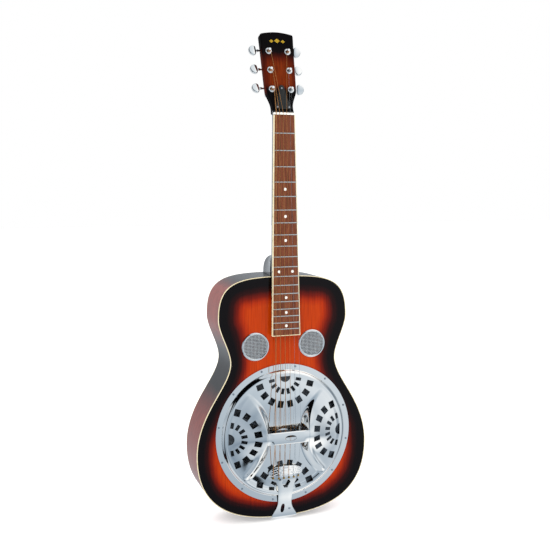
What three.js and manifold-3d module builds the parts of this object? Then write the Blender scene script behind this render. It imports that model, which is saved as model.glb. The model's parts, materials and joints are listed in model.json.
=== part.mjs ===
// A round-neck resonator guitar standing upright: a hollow wooden body with a spun metal cone
// under a pressed coverplate, a glued neck with 19 frets, and six geared tuners.
// Millimetres. +Z runs up the neck, +X is the treble side, and the front faces -Y.
// The origin is the centre of the end pin's outer face, the guitar's lowest point.

import * as THREE from 'three';
import { mergeVertices } from 'three/addons/utils/BufferGeometryUtils.js';
import Module from 'manifold-3d';

const wasm = await Module();
wasm.setup();

// ---------------------------------------------------------------- driving dimensions

const FIT = 0.3; // gap between glued, resting or nested pieces

const SCALE_LENGTH = 635;
const FRET_COUNT = 19;
const BODY_FRET = 12;
const COMPENSATION = 6;

const CONE_RADIUS = 132;
const COVER_OVER_CONE = 12; // the coverplate's edge outside the cone's
const TAIL_MARGIN = 32; // wood between the coverplate and the body's lower end
const LOWER_BOUT = 365;
const WAIST = 224;
const UPPER_BOUT = 273;
const LOWER_BOUT_UP = 142; // widest place of the lower bout above the body's lower end
const WAIST_DOWN = 172; // narrowest place of the waist below the body's upper end
const UPPER_BOUT_DOWN = 84;
const BODY_DEPTH = 95;
const TOP_THICK = 4;
const BACK_THICK = 3.5;
const SIDE_THICK = 2.5;
const BINDING_THICK = 1.6;
const BINDING_DEEP = 6;
const LINING_THICK = 6;
const LINING_DEEP = 12;
const NECK_BLOCK = { wide: 76, tall: 48 };
const END_BLOCK = { wide: 64, tall: 26 };

const SCREEN_RADIUS = 29;
const SCREEN_RIM = 5;
const SCREEN_TO_COVER = 19.3;
const SCREEN_TO_BOARD = 1.4;

const FLANGE_WIDTH = 12;
const STEP_WIDTH = 8;
const SHEET = 1.5;
const STEP_HEIGHT = 8.5;
const DOME_HEIGHT = 11;
const HANDREST = { length: 84, wide: 25, overStrings: 2.2, up: -1.7 };
const VALLEY_DEPTH = 4.5;
const VALLEY_FLARE = { out: 12, at: 54 }; // the hourglass valley is this much wider, this far from its waist
const SLOT = { length: 76, wide: 20 };
const ACCESS_HOLE = { long: 25, wide: 11.5, off: 4 };
const FAN_FROM_EDGE = 26; // each fan's centre inside the coverplate's edge
const FAN_HOLES = 8;
const INNER_ARC = { radius: 29, long: 12, wide: 6.4, step: 22.5 };
const OUTER_ARC = { radius: 56, long: 14.5, wide: 12, step: 20.8 };
const HALF_MOON = { radius: 11.5, offset: 2 };

const CONE_SHEET = 1;
const CONE_DEPTH = 40;
const CONE_LEDGE = 9.5; // depth of the cone's rim below the top's face
const WELL_WALL = 4;
const WELL_LEDGE = 8;
const CONE_RIM = 8;
const WELL_WINDOWS = 6;
const WELL_WINDOW_RADIUS = 16;
const SPIDER = { legs: 8, hub: 11, leg: 5.5, thick: 4, hubHeight: 4 };
const SADDLE = { thick: 3.6, gap: 11, overhang: 4 };
const TENSION_SCREW = { radius: 2.2, head: 4.4, headTall: 3.2 };

const NUT_WIDTH = 43.5;
const BOARD_END_WIDTH = 59.5;
const BOARD_PAST_LAST_FRET = 14;
const BOARD_THICK = 6;
const BOARD_BINDING = 1.5;
const FRET = { wide: 2.2, tall: 1.1 };
const NUT = { long: 4, above: 2.2 };
const NECK_ANGLE = THREE.MathUtils.degToRad(1.43);
const NUT_DROP = 0.7; // the board's underside behind the plane of the top, at the nut
const NECK_THICK_NUT = 21;
const NECK_THICK_HEEL = 25;
const HEEL = { shortOfBack: 11, capWide: 28, capOut: 26, reach: 74 };
const TRUSS_ROD = { radius: 3, deep: 9, nut: 4, nutLong: 12 };

const HEAD_TILT = THREE.MathUtils.degToRad(13.6);
const HEAD_THICK = 15;
const HEAD_LENGTH = 161;
const HEAD_TOP_WIDE = 69;
const HEAD_SHOULDER_WIDE = 62;
const HEAD_SHOULDER_UP = 40;
const HEAD_ARCH = 6;
const COVER_BELL = { low: 7, high: 57, wide: 34, topWide: 11, thick: 2 };

const POST = { radius: 3, waist: 2.3, above: 10.5, wrap: 3.8, wrapLow: 3.2, wrapTall: 3.6 };
const POST_SIDE = 19.8; // posts from the headstock's centreline
const POST_FIRST = 48.4; // first pair of posts above the nut
const POST_SPACING = 39.6;
const BUSHING = { radius: 4.4, flange: 6.6, flangeTall: 1.6, bore: 3.4 };
const GEAR = { radius: 5.8, thick: 3.4 };
const WORM = { radius: 2.4, long: 9 };
const HOUSING = { wall: 1.3, deep: 9 };
const SHAFT_RADIUS = 1.9;
const BUTTON = { long: 15.5, tall: 21, thick: 6, stand: 5 };

const STRING_RADII = [0.66, 0.53, 0.41, 0.31, 0.21, 0.16];
const NUT_SPREAD = 36;
const SADDLE_SPREAD = 54;
const ACTION = 2.9; // string above the fret where neck and body meet
const STRING_OVER_FIRST = 0.9;

const TAILPIECE = { sheet: 2, combWide: 72, stemWide: 28, footWide: 55, tipWide: 30 };
const COMB_FROM_COVER = 80; // comb's upper edge from the coverplate's lower edge
const ANCHOR_DOWN = 26; // string anchors below the comb's upper edge
const COMB_HEIGHT = 14.5;
const END_PIN = { out: 9, shaft: 5, button: 9.5, inside: 18 };

// ---------------------------------------------------------------- derived places

const FRONT = -BODY_DEPTH / 2;
const BODY_LOW = END_PIN.out;
const COVER_RADIUS = CONE_RADIUS + COVER_OVER_CONE;
const FAN_RADIUS = COVER_RADIUS - FAN_FROM_EDGE;
const HEEL_DEEP = BODY_DEPTH - HEEL.shortOfBack;
const BRIDGE_Z = BODY_LOW + TAIL_MARGIN + COVER_RADIUS;
const fretDistance = (fret) => SCALE_LENGTH * (1 - 2 ** (-fret / 12));
const BODY_HIGH = BRIDGE_Z + COMPENSATION + SCALE_LENGTH - fretDistance(BODY_FRET);
const NUT_Z = BODY_HIGH + fretDistance(BODY_FRET);
const BOARD_LENGTH = fretDistance(FRET_COUNT) + BOARD_PAST_LAST_FRET;
const SCREEN_X = BOARD_END_WIDTH / 2 + SCREEN_TO_BOARD + SCREEN_RADIUS;
const SCREEN_Z = BRIDGE_Z + Math.sqrt((COVER_RADIUS + SCREEN_TO_COVER + SCREEN_RADIUS) ** 2 - SCREEN_X ** 2);
const WELL_RADIUS = CONE_RADIUS + WELL_WALL + 2;
const STEP_OUT = COVER_RADIUS - FLANGE_WIDTH;
const STEP_IN = STEP_OUT - STEP_WIDTH;
const TAU = Math.PI * 2;

const boardWidth = (down) => NUT_WIDTH + (BOARD_END_WIDTH - NUT_WIDTH) * (down / BOARD_LENGTH);

// ---------------------------------------------------------------- materials

const LOOKS = {
  burst: { color: '#a8330a', roughness: 0.12, metalness: 0 },
  mahogany: { color: '#5a1c12', roughness: 0.12, metalness: 0 },
  black: { color: '#0c0a0b', roughness: 0.15, metalness: 0 },
  cream: { color: '#e9dcb4', roughness: 0.35, metalness: 0 },
  spruce: { color: '#c79f6b', roughness: 0.7, metalness: 0 },
  rosewood: { color: '#4a2418', roughness: 0.45, metalness: 0 },
  chrome: { color: '#c9ccd1', roughness: 0.06, metalness: 1 },
  aluminium: { color: '#aeb1b5', roughness: 0.35, metalness: 1 },
  mesh: { color: '#8b9096', roughness: 0.4, metalness: 1 },
  steel: { color: '#b9bcc0', roughness: 0.25, metalness: 1 },
  bronze: { color: '#b87b45', roughness: 0.3, metalness: 1 },
  brass: { color: '#b08a3c', roughness: 0.35, metalness: 1 },
  bone: { color: '#f2ede0', roughness: 0.4, metalness: 0 },
  maple: { color: '#c99c62', roughness: 0.5, metalness: 0 },
};

// ---------------------------------------------------------------- helpers

// One closed body from any geometry: merged vertices, no slivers, faces pointing out.
function closed(geometry) {
  for (const key of Object.keys(geometry.attributes)) {
    if (key !== 'position') geometry.deleteAttribute(key);
  }
  const merged = mergeVertices(geometry, 1e-4);
  const place = merged.getAttribute('position');
  const corner = [0, 1, 2].map(() => new THREE.Vector3());
  const kept = [];
  let volume = 0;
  for (let i = 0; i < merged.index.count; i += 3) {
    const [a, b, c] = [0, 1, 2].map((k) => merged.index.getX(i + k));
    if (a === b || b === c || c === a) continue;
    kept.push(a, b, c);
    [a, b, c].forEach((n, k) => corner[k].fromBufferAttribute(place, n));
    volume += corner[0].dot(corner[1].clone().cross(corner[2]));
  }
  merged.setIndex(volume < 0 ? kept.reverse() : kept);
  return merged;
}

function solid(geometry) {
  const body = closed(geometry);
  const vertProperties = new Float32Array(body.getAttribute('position').array);
  const triVerts = new Uint32Array(body.index.array);
  return new wasm.Manifold(new wasm.Mesh({ numProp: 3, vertProperties, triVerts }));
}

function geometryOf(manifold) {
  const mesh = manifold.getMesh();
  const geometry = new THREE.BufferGeometry();
  geometry.setAttribute('position', new THREE.BufferAttribute(mesh.vertProperties, 3));
  geometry.setIndex(new THREE.BufferAttribute(mesh.triVerts, 1));
  return geometry;
}

const cut = (first, ...others) => others.reduce((left, other) => left.subtract(other), first);
const join = (first, ...others) => others.reduce((sum, other) => sum.add(other), first);

const guitar = new THREE.Group();
const neckFrame = new THREE.Group();
const headFrame = new THREE.Group();
guitar.add(neckFrame);
neckFrame.add(headFrame);

function add(name, shape, look, parent = guitar) {
  const geometry = closed(shape.isBufferGeometry ? shape : geometryOf(shape));
  const mesh = new THREE.Mesh(geometry, new THREE.MeshStandardMaterial(LOOKS[look]));
  mesh.name = name;
  parent.add(mesh);
  return mesh;
}

const flat = (points) => new THREE.Shape(points.map(([a, b]) => new THREE.Vector2(a, b)));

function extruded(points, depth) {
  return new THREE.ExtrudeGeometry(flat(points), { depth, bevelEnabled: false, curveSegments: 8 });
}

// Outline in x and z, from y = low to y = high.
function plate(points, low, high) {
  return extruded(points, high - low).rotateX(Math.PI / 2).translate(0, high, 0);
}

// Outline in y and z, centred on x = 0.
function rib(points, width) {
  const turn = new THREE.Matrix4().makeBasis(
    new THREE.Vector3(0, 1, 0),
    new THREE.Vector3(0, 0, 1),
    new THREE.Vector3(1, 0, 0),
  );
  return extruded(points, width).applyMatrix4(turn).translate(-width / 2, 0, 0);
}

function block(low, high) {
  const size = high.map((value, axis) => value - low[axis]);
  const middle = high.map((value, axis) => (value + low[axis]) / 2);
  return new THREE.BoxGeometry(...size).translate(...middle);
}

// Turned piece about an axis along y: the profile is radius and height towards the front.
function turned(profile, segments = 32) {
  const points = profile.map(([radius, height]) => new THREE.Vector2(radius, height));
  return new THREE.LatheGeometry(points, segments).rotateX(Math.PI);
}

const rod = (radius, length, segments = 16) => new THREE.CylinderGeometry(radius, radius, length, segments);

// A skin through sections: place(angle, t) gives a section's centre and the point on its edge.
function loft(sides, rows, place) {
  const geometry = new THREE.CylinderGeometry(1, 1, 1, sides, rows);
  const position = geometry.getAttribute('position');
  for (let i = 0; i < position.count; i += 1) {
    const [x, t, z] = [position.getX(i), position.getY(i) + 0.5, position.getZ(i)];
    const { centre, edge } = place(Math.atan2(z, x), t);
    const point = Math.hypot(x, z) > 0.5 ? edge : centre;
    position.setXYZ(i, point[0], point[1], point[2]);
  }
  return geometry;
}

function ring(count, start = 0) {
  return Array.from({ length: count }, (_, i) => start + (i / count) * TAU);
}

// A straight-sided wire through a list of points.
function wire(points, radius, sides = 6) {
  const place = (angle, t) => {
    const i = Math.round(t * (points.length - 1));
    const before = points[Math.max(i - 1, 0)];
    const after = points[Math.min(i + 1, points.length - 1)];
    const along = after.clone().sub(before).normalize();
    const side = new THREE.Vector3(1, 0, 0).addScaledVector(along, -along.x).normalize();
    const up = along.clone().cross(side);
    const edge = points[i].clone();
    edge.addScaledVector(side, Math.cos(angle) * radius).addScaledVector(up, Math.sin(angle) * radius);
    return { centre: points[i].toArray(), edge: edge.toArray() };
  };
  return loft(sides, points.length - 1, place);
}

// ---------------------------------------------------------------- body

// Treble half of the body's outline from the tail to the neck, drawn in by inset.
function halfOutline(inset) {
  const [lower, waist, upper] = [LOWER_BOUT / 2, WAIST / 2, UPPER_BOUT / 2];
  const lowZ = BODY_LOW + LOWER_BOUT_UP;
  const waistZ = BODY_HIGH - WAIST_DOWN;
  const highZ = BODY_HIGH - UPPER_BOUT_DOWN;
  const at = (x, z) => new THREE.Vector2(x, z);
  const spans = [
    [at(0, BODY_LOW), at(lower * 0.4, BODY_LOW), at(lower, lowZ - LOWER_BOUT_UP * 0.9), at(lower, lowZ)],
    [at(lower, lowZ), at(lower, lowZ + (waistZ - lowZ) * 0.48), at(waist, waistZ - (waistZ - lowZ) * 0.25),
      at(waist, waistZ)],
    [at(waist, waistZ), at(waist, waistZ + (highZ - waistZ) * 0.3), at(upper, highZ - (highZ - waistZ) * 0.3),
      at(upper, highZ)],
    [at(upper, highZ), at(upper, highZ + UPPER_BOUT_DOWN * 0.9), at(upper * 0.72, BODY_HIGH),
      at(0, BODY_HIGH)],
  ];
  const steps = [9, 5, 4, 8];
  const points = [];
  spans.forEach((span, n) => {
    const curve = new THREE.CubicBezierCurve(...span);
    for (let i = n ? 1 : 0; i <= steps[n]; i += 1) {
      const t = i / steps[n];
      const tangent = curve.getTangent(t);
      const point = curve.getPoint(t);
      points.push([point.x - tangent.y * inset, point.y + tangent.x * inset]);
    }
  });
  points[0][0] = 0;
  points[points.length - 1][0] = 0;
  return points;
}

const mirrored = (points) => points.map(([x, z]) => [-x, z]).reverse();

function outline(inset) {
  const half = halfOutline(inset);
  return [...half, ...mirrored(half).slice(1, -1)];
}

function hoop(outer, inner, low, high) {
  return cut(solid(plate(outline(outer), low, high)), solid(plate(outline(inner), low - 1, high + 1)));
}

function bodyShell() {
  const back = FRONT + BODY_DEPTH;
  const plateInset = BINDING_THICK + FIT;
  const wellHole = solid(rod(WELL_RADIUS, 20, 36)).translate([0, FRONT, BRIDGE_Z]);
  const screenHoles = [-1, 1].map((side) => (
    solid(rod(SCREEN_RADIUS - SCREEN_RIM / 2 + FIT, 20, 20)).translate([side * SCREEN_X, FRONT, SCREEN_Z])));
  const topPlate = solid(plate(outline(plateInset), FRONT, FRONT + TOP_THICK));
  add('top', cut(topPlate, wellHole, ...screenHoles), 'burst');
  add('back', plate(outline(plateInset), back - BACK_THICK, back), 'mahogany');
  add('top_binding', hoop(0, BINDING_THICK, FRONT, FRONT + BINDING_DEEP), 'cream');
  add('back_binding', hoop(0, BINDING_THICK, back - BINDING_DEEP, back), 'cream');

  const liningIn = SIDE_THICK + FIT + LINING_THICK;
  const underTop = FRONT + TOP_THICK + FIT;
  const overBack = back - BACK_THICK - FIT;
  add('top_lining', hoop(SIDE_THICK + FIT, liningIn, underTop, underTop + LINING_DEEP), 'spruce');
  add('back_lining', hoop(SIDE_THICK + FIT, liningIn, overBack - LINING_DEEP, overBack), 'spruce');

  const pinHole = solid(rod(END_PIN.shaft + FIT, 100).rotateX(Math.PI / 2)).translate([0, 0, BODY_LOW]);
  const sides = cut(hoop(0, SIDE_THICK, FRONT + BINDING_DEEP + FIT, back - BINDING_DEEP - FIT), pinHole);
  const far = LOWER_BOUT + UPPER_BOUT;
  for (const [name, sign] of [['side_bass', -1], ['side_treble', 1]]) {
    const half = solid(block([FIT / 2, FRONT, BODY_LOW - 1], [far, back, BODY_HIGH + 1]));
    add(name, sides.intersect(half.scale([sign, 1, 1])), 'mahogany');
  }

  const blockLow = underTop + LINING_DEEP + FIT;
  const blockHigh = overBack - LINING_DEEP - FIT;
  const wallIn = SIDE_THICK + FIT * 4;
  const neckBlock = block(
    [-NECK_BLOCK.wide / 2, blockLow, BODY_HIGH - wallIn - NECK_BLOCK.tall],
    [NECK_BLOCK.wide / 2, blockHigh, BODY_HIGH - wallIn],
  );
  add('neck_block', solid(neckBlock).intersect(insideBody(blockLow, blockHigh)), 'spruce');
  const endBlock = block(
    [-END_BLOCK.wide / 2, blockLow, BODY_LOW + wallIn],
    [END_BLOCK.wide / 2, blockHigh, BODY_LOW + wallIn + END_BLOCK.tall],
  );
  add('end_block', cut(solid(endBlock).intersect(insideBody(blockLow, blockHigh)), pinHole), 'spruce');
}

const insideBody = (low, high) => solid(plate(outline(SIDE_THICK + FIT), low, high));

function soundwell() {
  const low = FRONT + CONE_LEDGE + CONE_SHEET + FIT;
  const high = FRONT + BODY_DEPTH - BACK_THICK - FIT;
  const ledge = 4;
  const inner = WELL_RADIUS - WELL_WALL;
  const wellTop = FRONT + TOP_THICK + FIT;
  const profile = [
    [inner, high], [WELL_RADIUS, high], [WELL_RADIUS, wellTop], [inner, wellTop],
    [inner, low], [inner - WELL_LEDGE, low], [inner - WELL_LEDGE, low + ledge], [inner, low + ledge],
    [inner, high],
  ];
  const wall = solid(turned(profile.map(([r, y]) => [r, -y]), 32)).translate([0, 0, BRIDGE_Z]);
  const windowY = (low + high) / 2 + ledge;
  const windows = ring(WELL_WINDOWS / 2, TAU / 12).map((angle) => (
    solid(rod(WELL_WINDOW_RADIUS, WELL_RADIUS * 3, 8).rotateX(Math.PI / 2).rotateY(angle))
      .translate([0, windowY, BRIDGE_Z])));
  add('soundwell', cut(wall, ...windows), 'maple');
}

function screens() {
  const inner = SCREEN_RADIUS - SCREEN_RIM;
  const hole = SCREEN_RADIUS - SCREEN_RIM / 2;
  const profile = [
    [inner, FIT], [inner, 1.4], [inner + 1.2, 2.4], [SCREEN_RADIUS - 1.2, 2.4], [SCREEN_RADIUS, 1.2],
    [SCREEN_RADIUS, FIT], [hole - FIT, FIT], [hole - FIT, -TOP_THICK], [hole - FIT - 1, -TOP_THICK],
    [hole - FIT - 1, FIT], [inner, FIT],
  ];
  for (const [side, name] of [[-1, 'bass'], [1, 'treble']]) {
    const rim = add(`screen_ring_${name}`, turned(profile, 20), 'chrome');
    rim.position.set(side * SCREEN_X, FRONT, SCREEN_Z);
    const gauze = add(`screen_mesh_${name}`, rod(hole - 1 - FIT * 2, 0.8, 20), 'mesh');
    gauze.position.set(side * SCREEN_X, FRONT + FIT + 0.4, SCREEN_Z);
  }
}

// ---------------------------------------------------------------- resonator

function resonator() {
  const rimDepth = -CONE_LEDGE;
  const outside = [
    [CONE_RADIUS, rimDepth], [CONE_RADIUS - CONE_RIM, rimDepth], [CONE_RADIUS - CONE_RIM - 6, rimDepth - 5],
    [42, -CONE_DEPTH], [34, -CONE_DEPTH], [12, rimDepth - 10], [TENSION_SCREW.radius + FIT, rimDepth - 10],
  ];
  const inside = outside.map(([radius, depth]) => [radius, depth - CONE_SHEET]).reverse();
  const cone = turned([...outside, ...inside, outside[0]], 30);
  add('cone', cone, 'aluminium').position.set(0, FRONT, BRIDGE_Z);

  const legEnd = CONE_RADIUS - 4;
  const footHigh = rimDepth + CONE_SHEET / 2 + FIT + SPIDER.thick;
  const leg = () => solid(rib([
    [-(SPIDER.hubHeight - SPIDER.thick), 0], [-SPIDER.hubHeight, 0], [-SPIDER.hubHeight + 1, SPIDER.hub],
    [-footHigh, legEnd - 5], [-footHigh, legEnd], [-footHigh + SPIDER.thick, legEnd],
    [-footHigh + SPIDER.thick, legEnd - 5], [-(SPIDER.hubHeight - SPIDER.thick), SPIDER.hub],
  ], SPIDER.leg));
  const legs = ring(SPIDER.legs, TAU / 16).map((angle) => (
    solid(geometryOf(leg()).rotateY(angle))));
  const hub = solid(rod(SPIDER.hub, SPIDER.hubHeight, 24)).translate([0, -SPIDER.hubHeight / 2, 0]);
  const yoke = solid(block(
    [-SADDLE_SPREAD / 2 - SADDLE.overhang, -SPIDER.hubHeight - 4, -SADDLE.thick],
    [SADDLE_SPREAD / 2 + SADDLE.overhang, -SPIDER.hubHeight + 2, SADDLE.thick],
  ));
  const slotLow = -SPIDER.hubHeight - 5;
  const slot = solid(block(
    [-SADDLE_SPREAD, slotLow, -SADDLE.thick / 2 - FIT],
    [SADDLE_SPREAD, -SPIDER.hubHeight + 0.5, SADDLE.thick / 2 + FIT],
  ));
  const bore = solid(rod(TENSION_SCREW.radius + FIT, 60, 12));
  const spider = cut(join(hub, yoke, ...legs), slot, bore);
  add('spider', spider, 'aluminium').position.set(0, FRONT, BRIDGE_Z);

  const low = SPIDER.hubHeight - 0.5 + FIT;
  for (const [name, side] of [['bass', -1], ['treble', 1]]) {
    const [near, far] = [side * SADDLE.gap / 2, side * (SADDLE_SPREAD / 2 + SADDLE.overhang - 1)];
    const high = saddleHeight - STRING_RADII[0] - FIT;
    const shape = [[near, BRIDGE_Z - SADDLE.thick / 2], [far, BRIDGE_Z - SADDLE.thick / 2],
      [far, BRIDGE_Z + SADDLE.thick / 2], [near, BRIDGE_Z + SADDLE.thick / 2]];
    add(`saddle_${name}`, plate(shape, FRONT - high, FRONT - low), 'maple');
  }

  const seat = SPIDER.hubHeight + 4 + FIT;
  const tip = -CONE_LEDGE - 16;
  const profile = [
    [0, tip], [TENSION_SCREW.radius, tip], [TENSION_SCREW.radius, seat], [TENSION_SCREW.head, seat],
    [TENSION_SCREW.head, seat + TENSION_SCREW.headTall - 1],
    [TENSION_SCREW.head - 1, seat + TENSION_SCREW.headTall], [0, seat + TENSION_SCREW.headTall],
  ];
  add('tension_screw', turned(profile, 12), 'steel').position.set(0, FRONT, BRIDGE_Z);
}

// ---------------------------------------------------------------- coverplate

// The handrest stands on two swellings that fall away from its ends.
function lobeRise(x, z) {
  const out = Math.max(Math.abs(x) - HANDREST.length / 2, 0) / 30;
  const along = (z - HANDREST.up) / 24;
  return (handrestHeight - DOME_HEIGHT) * Math.exp(-(out ** 2 + along ** 2));
}

// Half the width of the hourglass valley at a height z from the centre.
function valleyHalf(z) {
  return HANDREST.length / 2 - 2 + VALLEY_FLARE.out * Math.abs(z / VALLEY_FLARE.at) ** 2.5;
}

function sheetProfile(radii, surface) {
  const above = radii.map((radius) => [radius, surface(radius)]);
  const below = above.map(([radius, height]) => [radius, height - SHEET]).reverse();
  return [...above, ...below, above[0]];
}

function domeHeight(radius) {
  const t = Math.min(radius / STEP_IN, 1);
  return STEP_HEIGHT + (DOME_HEIGHT - STEP_HEIGHT) * (1 - t ** 2);
}

function fanHoles(angle, farSide) {
  const holes = [];
  const direction = new THREE.Matrix4().makeRotationY(angle);
  const moonFlat = FAN_RADIUS + HALF_MOON.offset;
  const moon = Array.from({ length: 9 }, (_, i) => {
    const turn = Math.PI * (1 + i / 8);
    return [HALF_MOON.radius * Math.cos(turn), moonFlat + HALF_MOON.radius * Math.sin(turn)];
  });
  holes.push(plate(moon, -farSide, farSide));
  for (const arc of [INNER_ARC, OUTER_ARC]) {
    for (let i = 0; i < FAN_HOLES; i += 1) {
      const turn = THREE.MathUtils.degToRad((i - (FAN_HOLES - 1) / 2) * arc.step);
      const hole = new THREE.BoxGeometry(arc.wide, farSide * 2, arc.long);
      hole.translate(0, 0, -arc.radius).rotateY(turn).translate(0, 0, FAN_RADIUS);
      holes.push(hole);
    }
  }
  return holes.map((hole) => solid(hole.applyMatrix4(direction)));
}

function coverplate() {
  const rim = [COVER_RADIUS, STEP_OUT, STEP_OUT - 3, STEP_IN];
  const inward = [0.68, 0.5, 0.36, 0.2].map((share) => share * STEP_IN);
  const flange = FIT + SHEET;
  const surface = (radius) => {
    if (radius >= STEP_OUT) return flange;
    if (radius <= STEP_IN) return domeHeight(radius);
    const t = (STEP_OUT - radius) / STEP_WIDTH;
    return flange + (STEP_HEIGHT - flange) * Math.sin(t * Math.PI / 2);
  };
  const profile = sheetProfile([...rim, ...inward, 0], surface);
  const dome = turned(sheetProfile([...rim, STEP_IN / 2, 0], surface), 36);
  const raised = turned(profile, 36);
  const position = raised.getAttribute('position');
  for (let i = 0; i < position.count; i += 1) {
    const [x, y, z] = [position.getX(i), position.getY(i), position.getZ(i)];
    if (Math.hypot(x, z) < STEP_IN) position.setY(i, y - lobeRise(x, z));
  }
  const top = solid(raised);
  const tall = handrestHeight * 2;
  const valleyEdge = [];
  const reach = STEP_IN - 1;
  for (const share of [-1, -0.86, -0.7, -0.5, -0.3, -0.12, 0.12, 0.3, 0.5, 0.7, 0.86, 1]) {
    const z = share * 0.73 * reach;
    valleyEdge.push([valleyHalf(z), z]);
  }
  const arcFrom = Math.atan2(valleyEdge[11][0], valleyEdge[11][1]);
  const arc = (side, sign) => Array.from({ length: 7 }, (_, i) => {
    const turn = arcFrom * (1 - (i + 1) / 4) * sign;
    return [reach * Math.sin(turn), side * reach * Math.cos(turn)];
  });
  const valleyOutline = [...valleyEdge, ...arc(1, 1), ...mirrored(valleyEdge), ...arc(-1, -1)];
  const valley = (grow) => solid(plate(
    valleyOutline.map(([x, z]) => [x + Math.sign(x) * grow, z + Math.sign(z) * grow]),
    -tall,
    tall,
  ));
  const floorPart = solid(dome).translate([0, VALLEY_DEPTH, 0]).intersect(valley(SHEET / 4));
  const underLobes = raised.clone().translate(0, SHEET / 3, 0);
  const under = underLobes.getAttribute('position');
  const floorY = -(STEP_HEIGHT - VALLEY_DEPTH - SHEET);
  const rows = profile.length;
  for (let i = 0; i < under.count; i += 1) {
    const k = i % rows;
    if (k >= (rows - 1) / 2 && k < rows - 1) under.setY(i, floorY);
  }
  const wall = cut(solid(underLobes).intersect(valley(SHEET / 2)), valley(-SHEET));
  const handrest = solid(block(
    [-HANDREST.length / 2 - 1, -handrestHeight, -HANDREST.wide / 2],
    [HANDREST.length / 2 + 1, -handrestHeight + SHEET, HANDREST.wide / 2],
  ).translate(0, 0, HANDREST.up));
  const slot = solid(block(
    [-SLOT.length / 2, -STEP_HEIGHT * 2, -SLOT.wide / 2],
    [SLOT.length / 2, 0, SLOT.wide / 2],
  ));
  const access = solid(rod(1, tall, 16).scale(ACCESS_HOLE.long / 2, 1, ACCESS_HOLE.wide / 2))
    .translate([ACCESS_HOLE.off, -handrestHeight, 0]);
  const fans = ring(4).flatMap((angle) => fanHoles(angle, tall));
  const shell = join(cut(top, valley(0)), floorPart, wall);
  const pressed = join(cut(shell, slot, ...fans), cut(handrest, access));
  add('coverplate', pressed, 'chrome').position.set(0, FRONT, BRIDGE_Z);
}

// ---------------------------------------------------------------- tailpiece and end pin

// A band of even thickness outside a line of points, as an outline.
function band(points, thick) {
  const line = points.map(([a, b]) => new THREE.Vector2(a, b));
  const outer = line.map((point, i) => {
    const before = line[Math.max(i - 1, 0)];
    const after = line[Math.min(i + 1, line.length - 1)];
    const first = point.clone().sub(before).normalize();
    const second = after.clone().sub(point).normalize();
    const along = first.add(second).normalize();
    return [point.x - along.y * thick, point.y + along.x * thick];
  });
  return [...points, ...outer.reverse()];
}

const COMB_Z = BRIDGE_Z - COVER_RADIUS + COMB_FROM_COVER;
const ANCHOR_Z = COMB_Z - ANCHOR_DOWN;

function tailpiece() {
  const under = BODY_LOW - FIT;
  const coverLow = BRIDGE_Z - COVER_RADIUS;
  const path = [
    [FRONT - COMB_HEIGHT + 1, COMB_Z], [FRONT - COMB_HEIGHT - 1, ANCHOR_Z],
    [FRONT - STEP_HEIGHT - 2.5, coverLow + 26], [FRONT - STEP_HEIGHT - 0.6, coverLow + 18],
    [FRONT - 5.5, coverLow + 4], [FRONT - 2.6, coverLow - 14], [FRONT - 1.2, BODY_LOW + 4],
    [FRONT - 0.6, BODY_LOW + 1], [FRONT - FIT, under], [TAILPIECE.tipWide / 2, under],
  ];
  const bent = solid(rib(band(path.reverse(), TAILPIECE.sheet), TAILPIECE.combWide + 10));
  const half = [
    [TAILPIECE.footWide / 2 + 1, BODY_LOW - 6], [TAILPIECE.footWide / 2, BODY_LOW + 1],
    [TAILPIECE.footWide / 2 - 6, BODY_LOW + 10], [TAILPIECE.stemWide / 2 + 1, coverLow - 8],
    [TAILPIECE.stemWide / 2, coverLow + 8], [TAILPIECE.stemWide / 2 + 3, ANCHOR_Z - 20],
    [TAILPIECE.stemWide / 2 + 5, ANCHOR_Z - 12], [TAILPIECE.combWide / 3, ANCHOR_Z - 4],
    [TAILPIECE.combWide / 2 - 2, ANCHOR_Z + 6], [TAILPIECE.combWide / 2, ANCHOR_Z + 9],
    [TAILPIECE.combWide / 2 - 3, COMB_Z - 7], [TAILPIECE.combWide / 4, COMB_Z - 1.5],
  ];
  const front = solid(plate([...half, ...mirrored(half)], FRONT - COVER_RADIUS, -FRONT));
  const betweenArms = [[-9.5, ANCHOR_Z - 5], [0, ANCHOR_Z - 21], [9.5, ANCHOR_Z - 5]];
  const arms = solid(plate(betweenArms, FRONT - 60, FRONT));
  const tip = TAILPIECE.tipWide / 2;
  const fromBelow = extruded([
    [-LOWER_BOUT / 2, FRONT - 60], [LOWER_BOUT / 2, FRONT - 60], [LOWER_BOUT / 2, FRONT - 1],
    [TAILPIECE.footWide / 2, FRONT], [tip, -tip], [tip, tip / 2], [tip / 2, tip], [-tip / 2, tip],
    [-tip, tip / 2], [-tip, -tip], [-TAILPIECE.footWide / 2, FRONT], [-LOWER_BOUT / 2, FRONT - 1],
  ], BODY_HIGH);
  const pinHole = solid(rod(END_PIN.shaft + FIT, 20).rotateX(Math.PI / 2)).translate([0, 0, BODY_LOW]);
  const strapHole = solid(block([-8, FRONT - 20, coverLow - 21], [0, FRONT + 1, coverLow - 5]));
  const shape = bent.intersect(front).intersect(solid(fromBelow));
  add('tailpiece', cut(shape, arms, pinHole, strapHole), 'chrome');

  const plateLow = BODY_LOW - FIT - TAILPIECE.sheet - FIT;
  const profile = [
    [0, 0], [END_PIN.button - 2, 0], [END_PIN.button, 1.5], [END_PIN.button, plateLow - 1.5],
    [END_PIN.button - 2.5, plateLow], [END_PIN.shaft, plateLow], [END_PIN.shaft - 1, BODY_LOW + END_PIN.inside],
    [0, BODY_LOW + END_PIN.inside],
  ];
  const pin = turned(profile, 20).rotateX(-Math.PI / 2);
  add('end_pin', pin, 'chrome');
}

// ---------------------------------------------------------------- neck

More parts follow.
